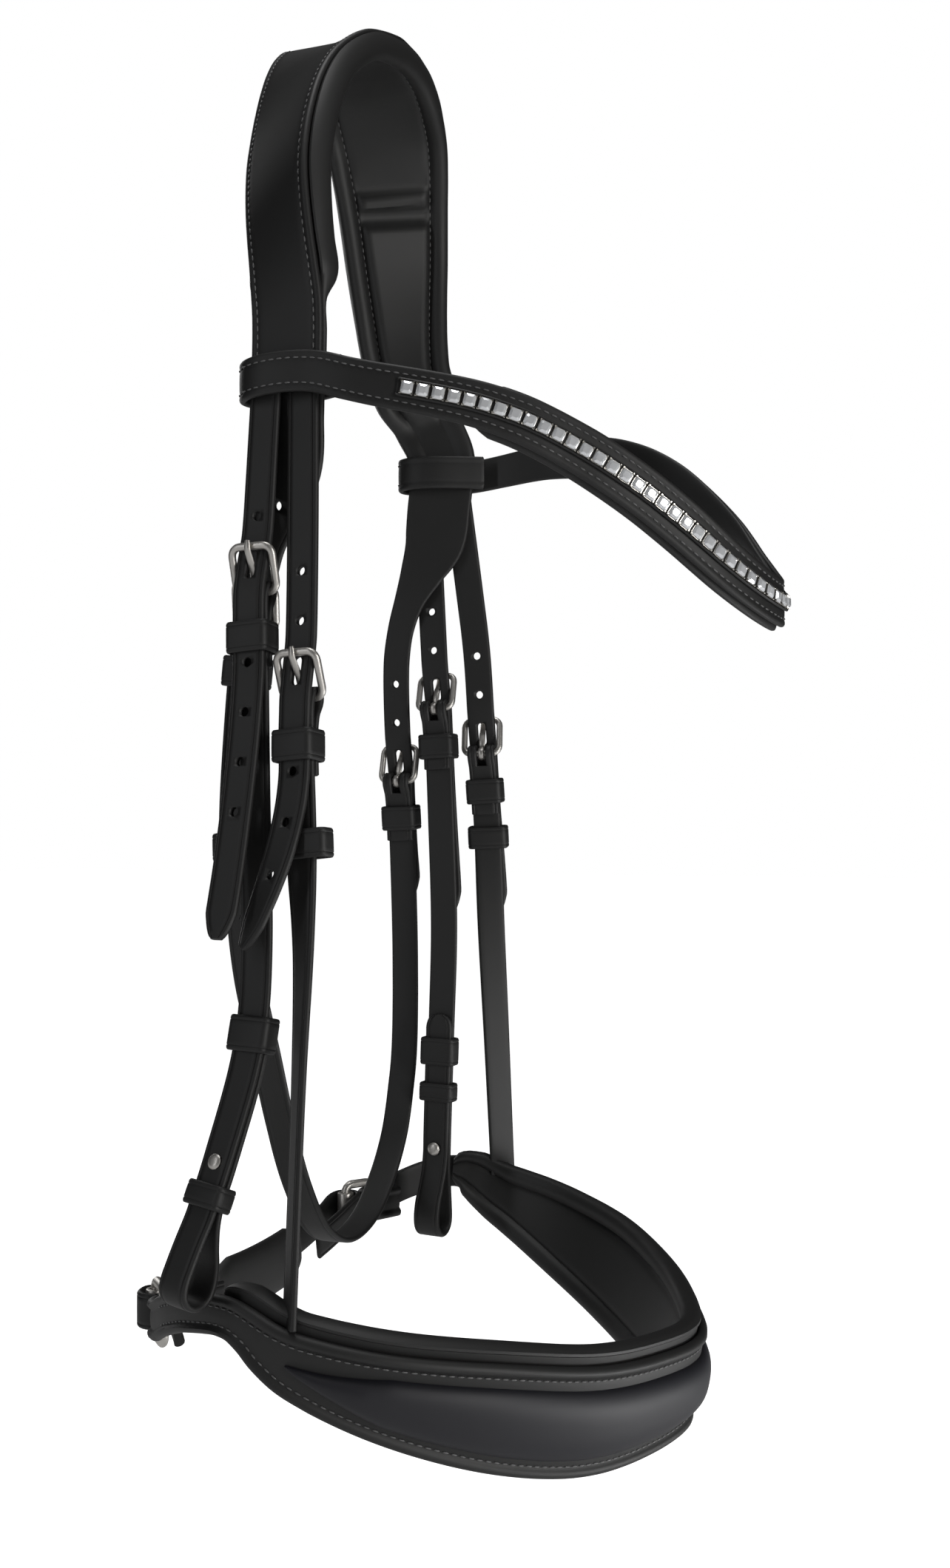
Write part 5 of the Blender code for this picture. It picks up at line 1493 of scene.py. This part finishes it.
def make_ring(side):
    """The noseband's end ring and the loose roller on its far bar."""
    end, way, out, r = ring_place(side)
    letter = side_letter(side)
    bar = end + way * 3.0 - out * r
    half = CHIN_W / 2 + 0.6 + RING_WIRE_R + 0.8
    mid = bar + way * (RING_W / 2)
    points = [mid + way * a + UP * b for a, b in rounded_loop(RING_W / 2, half, 3.0)]
    ring = wire("nose_ring_%s_finish" % letter, points, out, RING_WIRE_R, finish("steel"), 0.95)
    give(ring, "noseband", "steel", "nose_ring_" + letter)
    centre = bar + way * RING_W
    half = CHIN_W / 2 + 0.2
    outline = ((-half, RING_WIRE_R + 0.25), (-half, ROLLER_R - 0.5), (-half + 0.15, ROLLER_R - 0.15),
               (-half + 0.5, ROLLER_R), (half - 0.5, ROLLER_R), (half - 0.15, ROLLER_R - 0.15),
               (half, ROLLER_R - 0.5), (half, RING_WIRE_R + 0.25))
    rings = [[centre + way * (q * math.cos(a)) + out * (q * math.sin(a)) + UP * z for z, q in outline]
             for a in round_turns(ROLLER_SIDES)]
    mesh = grid_mesh("roller", rings, [float(k) for k in range(ROLLER_SIDES)], [0.0] * len(outline), True)
    sleeve = add_piece("nose_roller_%s_finish" % letter, mesh, finish("steel"), 40.0)
    give(sleeve, "roller_" + letter, "steel", "nose_roller_" + letter)


# ---------------------------------------------------------------- chin

def chin_bars():
    places = {}
    for side in (-1, 1):
        end, way, out, r = ring_place(side)
        places[side] = end + way * (3.0 + RING_W) - out * r
    along = (places[1] - places[-1]).normalized()
    return places[-1], places[1], along, Vector((-along.y, along.x, 0))


def chin_layer(ts, shift):
    """Points beside the sagging middle line; a positive shift is to the rear."""
    start, end, _, back = chin_bars()
    return [start.lerp(end, t) - UP * (CHIN_SAG * 4.0 * t * (1.0 - t)) + back * shift for t in ts]


def chin_fold(side, r):
    """Round the roller, from the rear layer to the inner layer."""
    start, end, along, back = chin_bars()
    bar = start if side < 0 else end
    turns = [math.radians(a) for a in (90, 60, 30, 0, -30, -60, -90)]
    return [bar + along * (side * r * math.cos(a)) + back * (r * math.sin(a)) for a in turns]


def make_chin():
    r = ROLLER_R + CHIN_PLAY + CHIN_T / 2
    rear = chin_layer([k / 12 for k in range(1, 12)], r)
    tab_r = chin_layer([CHIN_TAB, CHIN_TAB * 0.66, CHIN_TAB * 0.33], -r)
    tab_l = chin_layer([1 - CHIN_TAB * 0.33, 1 - CHIN_TAB * 0.66, 1 - CHIN_TAB], -r)
    points = tab_r + chin_fold(-1, r)[::-1] + rear + chin_fold(1, r) + tab_l
    rail = Rail(points, [UP] * len(points), CHIN_W, CHIN_T, chin_bars()[3])
    strap("chin_strap", "chin", "strap_leather", rail)

    pad_at = r - CHIN_T / 2 - 0.2 - CHIN_PAD_T / 2
    line = chin_layer([0.27 + 0.46 * k / 8 for k in range(9)], pad_at)
    soft = Rail(line, [UP] * 9, CHIN_W + 11.0, CHIN_PAD_T, chin_bars()[3], 1.4)

    def outline(i, width, thick):
        left = soft.left(i)
        shrink = 0.35 + 0.65 * math.sqrt(min(1.0, left / 11.0))
        return pillow(width * shrink, thick * (0.4 + 0.6 * math.sqrt(min(1.0, left / 6.0))))

    strap("chin_pad", "chin", "padding", soft, outline=outline)


# ---------------------------------------------------------------- stage

def seen_or_lighting(tree, seen, lighting):
    """One strength for what the eye sees directly and another for the light that it gives."""
    path = tree.nodes.new("ShaderNodeLightPath")
    extra = maths(tree, "MULTIPLY", path.outputs["Is Camera Ray"], seen - lighting)
    return maths(tree, "ADD", extra, lighting)


def floor_finish():
    """Pale seamless paper."""
    mat, tree, shader, coords = new_material("floor")
    fibre = noise(tree, coords, 900.0, 2.0)
    tone = noise(tree, coords, 3.0, 2.0)
    paper = blend(tree, tone, (0.9, 0.9, 0.9, 1.0), (0.87, 0.87, 0.87, 1.0))
    tree.links.new(paper, shader.inputs["Base Color"])
    shader.inputs["Roughness"].default_value = 0.9
    shader.inputs["Emission Color"].default_value = (1.0, 1.0, 1.0, 1.0)
    tree.links.new(seen_or_lighting(tree, FLOOR_GLOW, FLOOR_LIGHT), shader.inputs["Emission Strength"])
    bump(tree, shader, fibre, 0.1, 0.0001)
    return mat


def soft_box(name, where, at, width, height, power, colour):
    """A large rectangular light aimed at a point."""
    lamp = bpy.data.lights.new(name, "AREA")
    lamp.shape, lamp.size, lamp.size_y = "RECTANGLE", width, height
    lamp.energy, lamp.color = power, colour
    obj = bpy.data.objects.new(name, lamp)
    obj.location = where
    obj.rotation_euler = (Vector(at) - Vector(where)).to_track_quat("-Z", "Y").to_euler()
    bpy.context.collection.objects.link(obj)


def make_stage():
    floor_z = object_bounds()[0][2] - FLOOR_DROP
    mesh = bpy.data.meshes.new("floor")
    corners = ((-6.0, -6.0), (9.0, -6.0), (9.0, 6.0), (-6.0, 6.0))
    mesh.from_pydata([(x, y, floor_z) for x, y in corners], [], [(0, 1, 2, 3)])
    mesh.materials.append(floor_finish())
    floor = bpy.data.objects.new("floor", mesh)
    bpy.context.collection.objects.link(floor)
    floor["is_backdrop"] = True

    world = bpy.context.scene.world or bpy.data.worlds.new("studio")
    bpy.context.scene.world = world
    world.use_nodes = True
    tree = world.node_tree
    sky = tree.nodes["Background"]
    sky.inputs["Color"].default_value = (1.0, 1.0, 1.0, 1.0)
    tree.links.new(seen_or_lighting(tree, BACKDROP_GLOW, ROOM_GLOW), sky.inputs["Strength"])

    for lamp in LAMPS:
        soft_box(*lamp)

    bpy.context.scene.view_settings.view_transform = "Standard"
    yaw, pitch = math.radians(CAMERA_YAW), math.radians(CAMERA_PITCH)
    ahead = Vector((math.cos(pitch) * math.cos(yaw), math.cos(pitch) * math.sin(yaw), math.sin(pitch)))
    right = ahead.cross(UP).normalized()
    above = right.cross(ahead)
    lens = bpy.data.cameras.new("camera")
    lens.sensor_fit, lens.sensor_height, lens.lens, lens.clip_start = "VERTICAL", LENS, LENS, 0.01
    camera = bpy.data.objects.new("camera", lens)
    camera.matrix_world = Matrix.Translation(CAMERA_AT) @ Matrix(
        (right, above, -ahead)).transposed().to_4x4()
    bpy.context.collection.objects.link(camera)
    bpy.context.scene.camera = camera


# ---------------------------------------------------------------- operators

class BRIDLE_OT_crown(Operator):
    """Make the crown's leather, its padded lining and their sewing"""
    bl_idname = "bridle.crown"
    bl_label = "Crown"

    def execute(self, context):
        make_crown()
        return {"FINISHED"}


class BRIDLE_OT_browband(Operator):
    """Make the browband, its padding, the channel and the cut stones"""
    bl_idname = "bridle.browband"
    bl_label = "Browband"

    def execute(self, context):
        make_browband()
        return {"FINISHED"}


class BRIDLE_OT_cheeks(Operator):
    """Make both cheek chains with buckles, keepers, hook studs and bit loops"""
    bl_idname = "bridle.cheeks"
    bl_label = "Cheeks"

    def execute(self, context):
        for side in (-1, 1):
            make_cheek(side)
        return {"FINISHED"}


class BRIDLE_OT_hangers(Operator):
    """Make both noseband hangers with buckles and keepers"""
    bl_idname = "bridle.hangers"
    bl_label = "Noseband hangers"

    def execute(self, context):
        for side in (-1, 1):
            make_nose_hanger(side)
        return {"FINISHED"}


class BRIDLE_OT_throatlash(Operator):
    """Make the throatlash with its billets, buckles and keepers"""
    bl_idname = "bridle.throatlash"
    bl_label = "Throatlash"

    def execute(self, context):
        make_throatlash()
        return {"FINISHED"}


class BRIDLE_OT_noseband(Operator):
    """Make the noseband, its padding, the raised front, the rings and the rollers"""
    bl_idname = "bridle.noseband"
    bl_label = "Noseband"

    def execute(self, context):
        make_noseband()
        return {"FINISHED"}


class BRIDLE_OT_chin(Operator):
    """Make the chin strap and its pad"""
    bl_idname = "bridle.chin"
    bl_label = "Chin strap"

    def execute(self, context):
        make_chin()
        return {"FINISHED"}


class BRIDLE_OT_stage(Operator):
    """Make the floor, the backdrop, the lights and the camera"""
    bl_idname = "bridle.stage"
    bl_label = "Stage"

    def execute(self, context):
        make_stage()
        return {"FINISHED"}


STEPS = (BRIDLE_OT_crown, BRIDLE_OT_browband, BRIDLE_OT_cheeks, BRIDLE_OT_hangers, BRIDLE_OT_throatlash,
         BRIDLE_OT_noseband, BRIDLE_OT_chin, BRIDLE_OT_stage)


class BRIDLE_PT_panel(Panel):
    """Sizes, colours and steps of the bridle"""
    bl_idname = "BRIDLE_PT_panel"
    bl_label = "Snaffle Bridle"
    bl_space_type = "VIEW_3D"
    bl_region_type = "UI"
    bl_category = "Bridle"

    def draw(self, context):
        sizes = context.scene.bridle
        for name in BridleSettings.__annotations__:
            self.layout.prop(sizes, name)
        for step in STEPS:
            self.layout.operator(step.bl_idname)


CLASSES = (BridleSettings, *STEPS, BRIDLE_PT_panel)


def register():
    for cls in CLASSES:
        bpy.utils.register_class(cls)
    bpy.types.Scene.bridle = PointerProperty(type=BridleSettings)


def unregister():
    del bpy.types.Scene.bridle
    for cls in reversed(CLASSES):
        bpy.utils.unregister_class(cls)


def main():
    register()
    for step in STEPS:
        family, action = step.bl_idname.split(".")
        getattr(getattr(bpy.ops, family), action)()


if __name__ == "__main__":
    main()
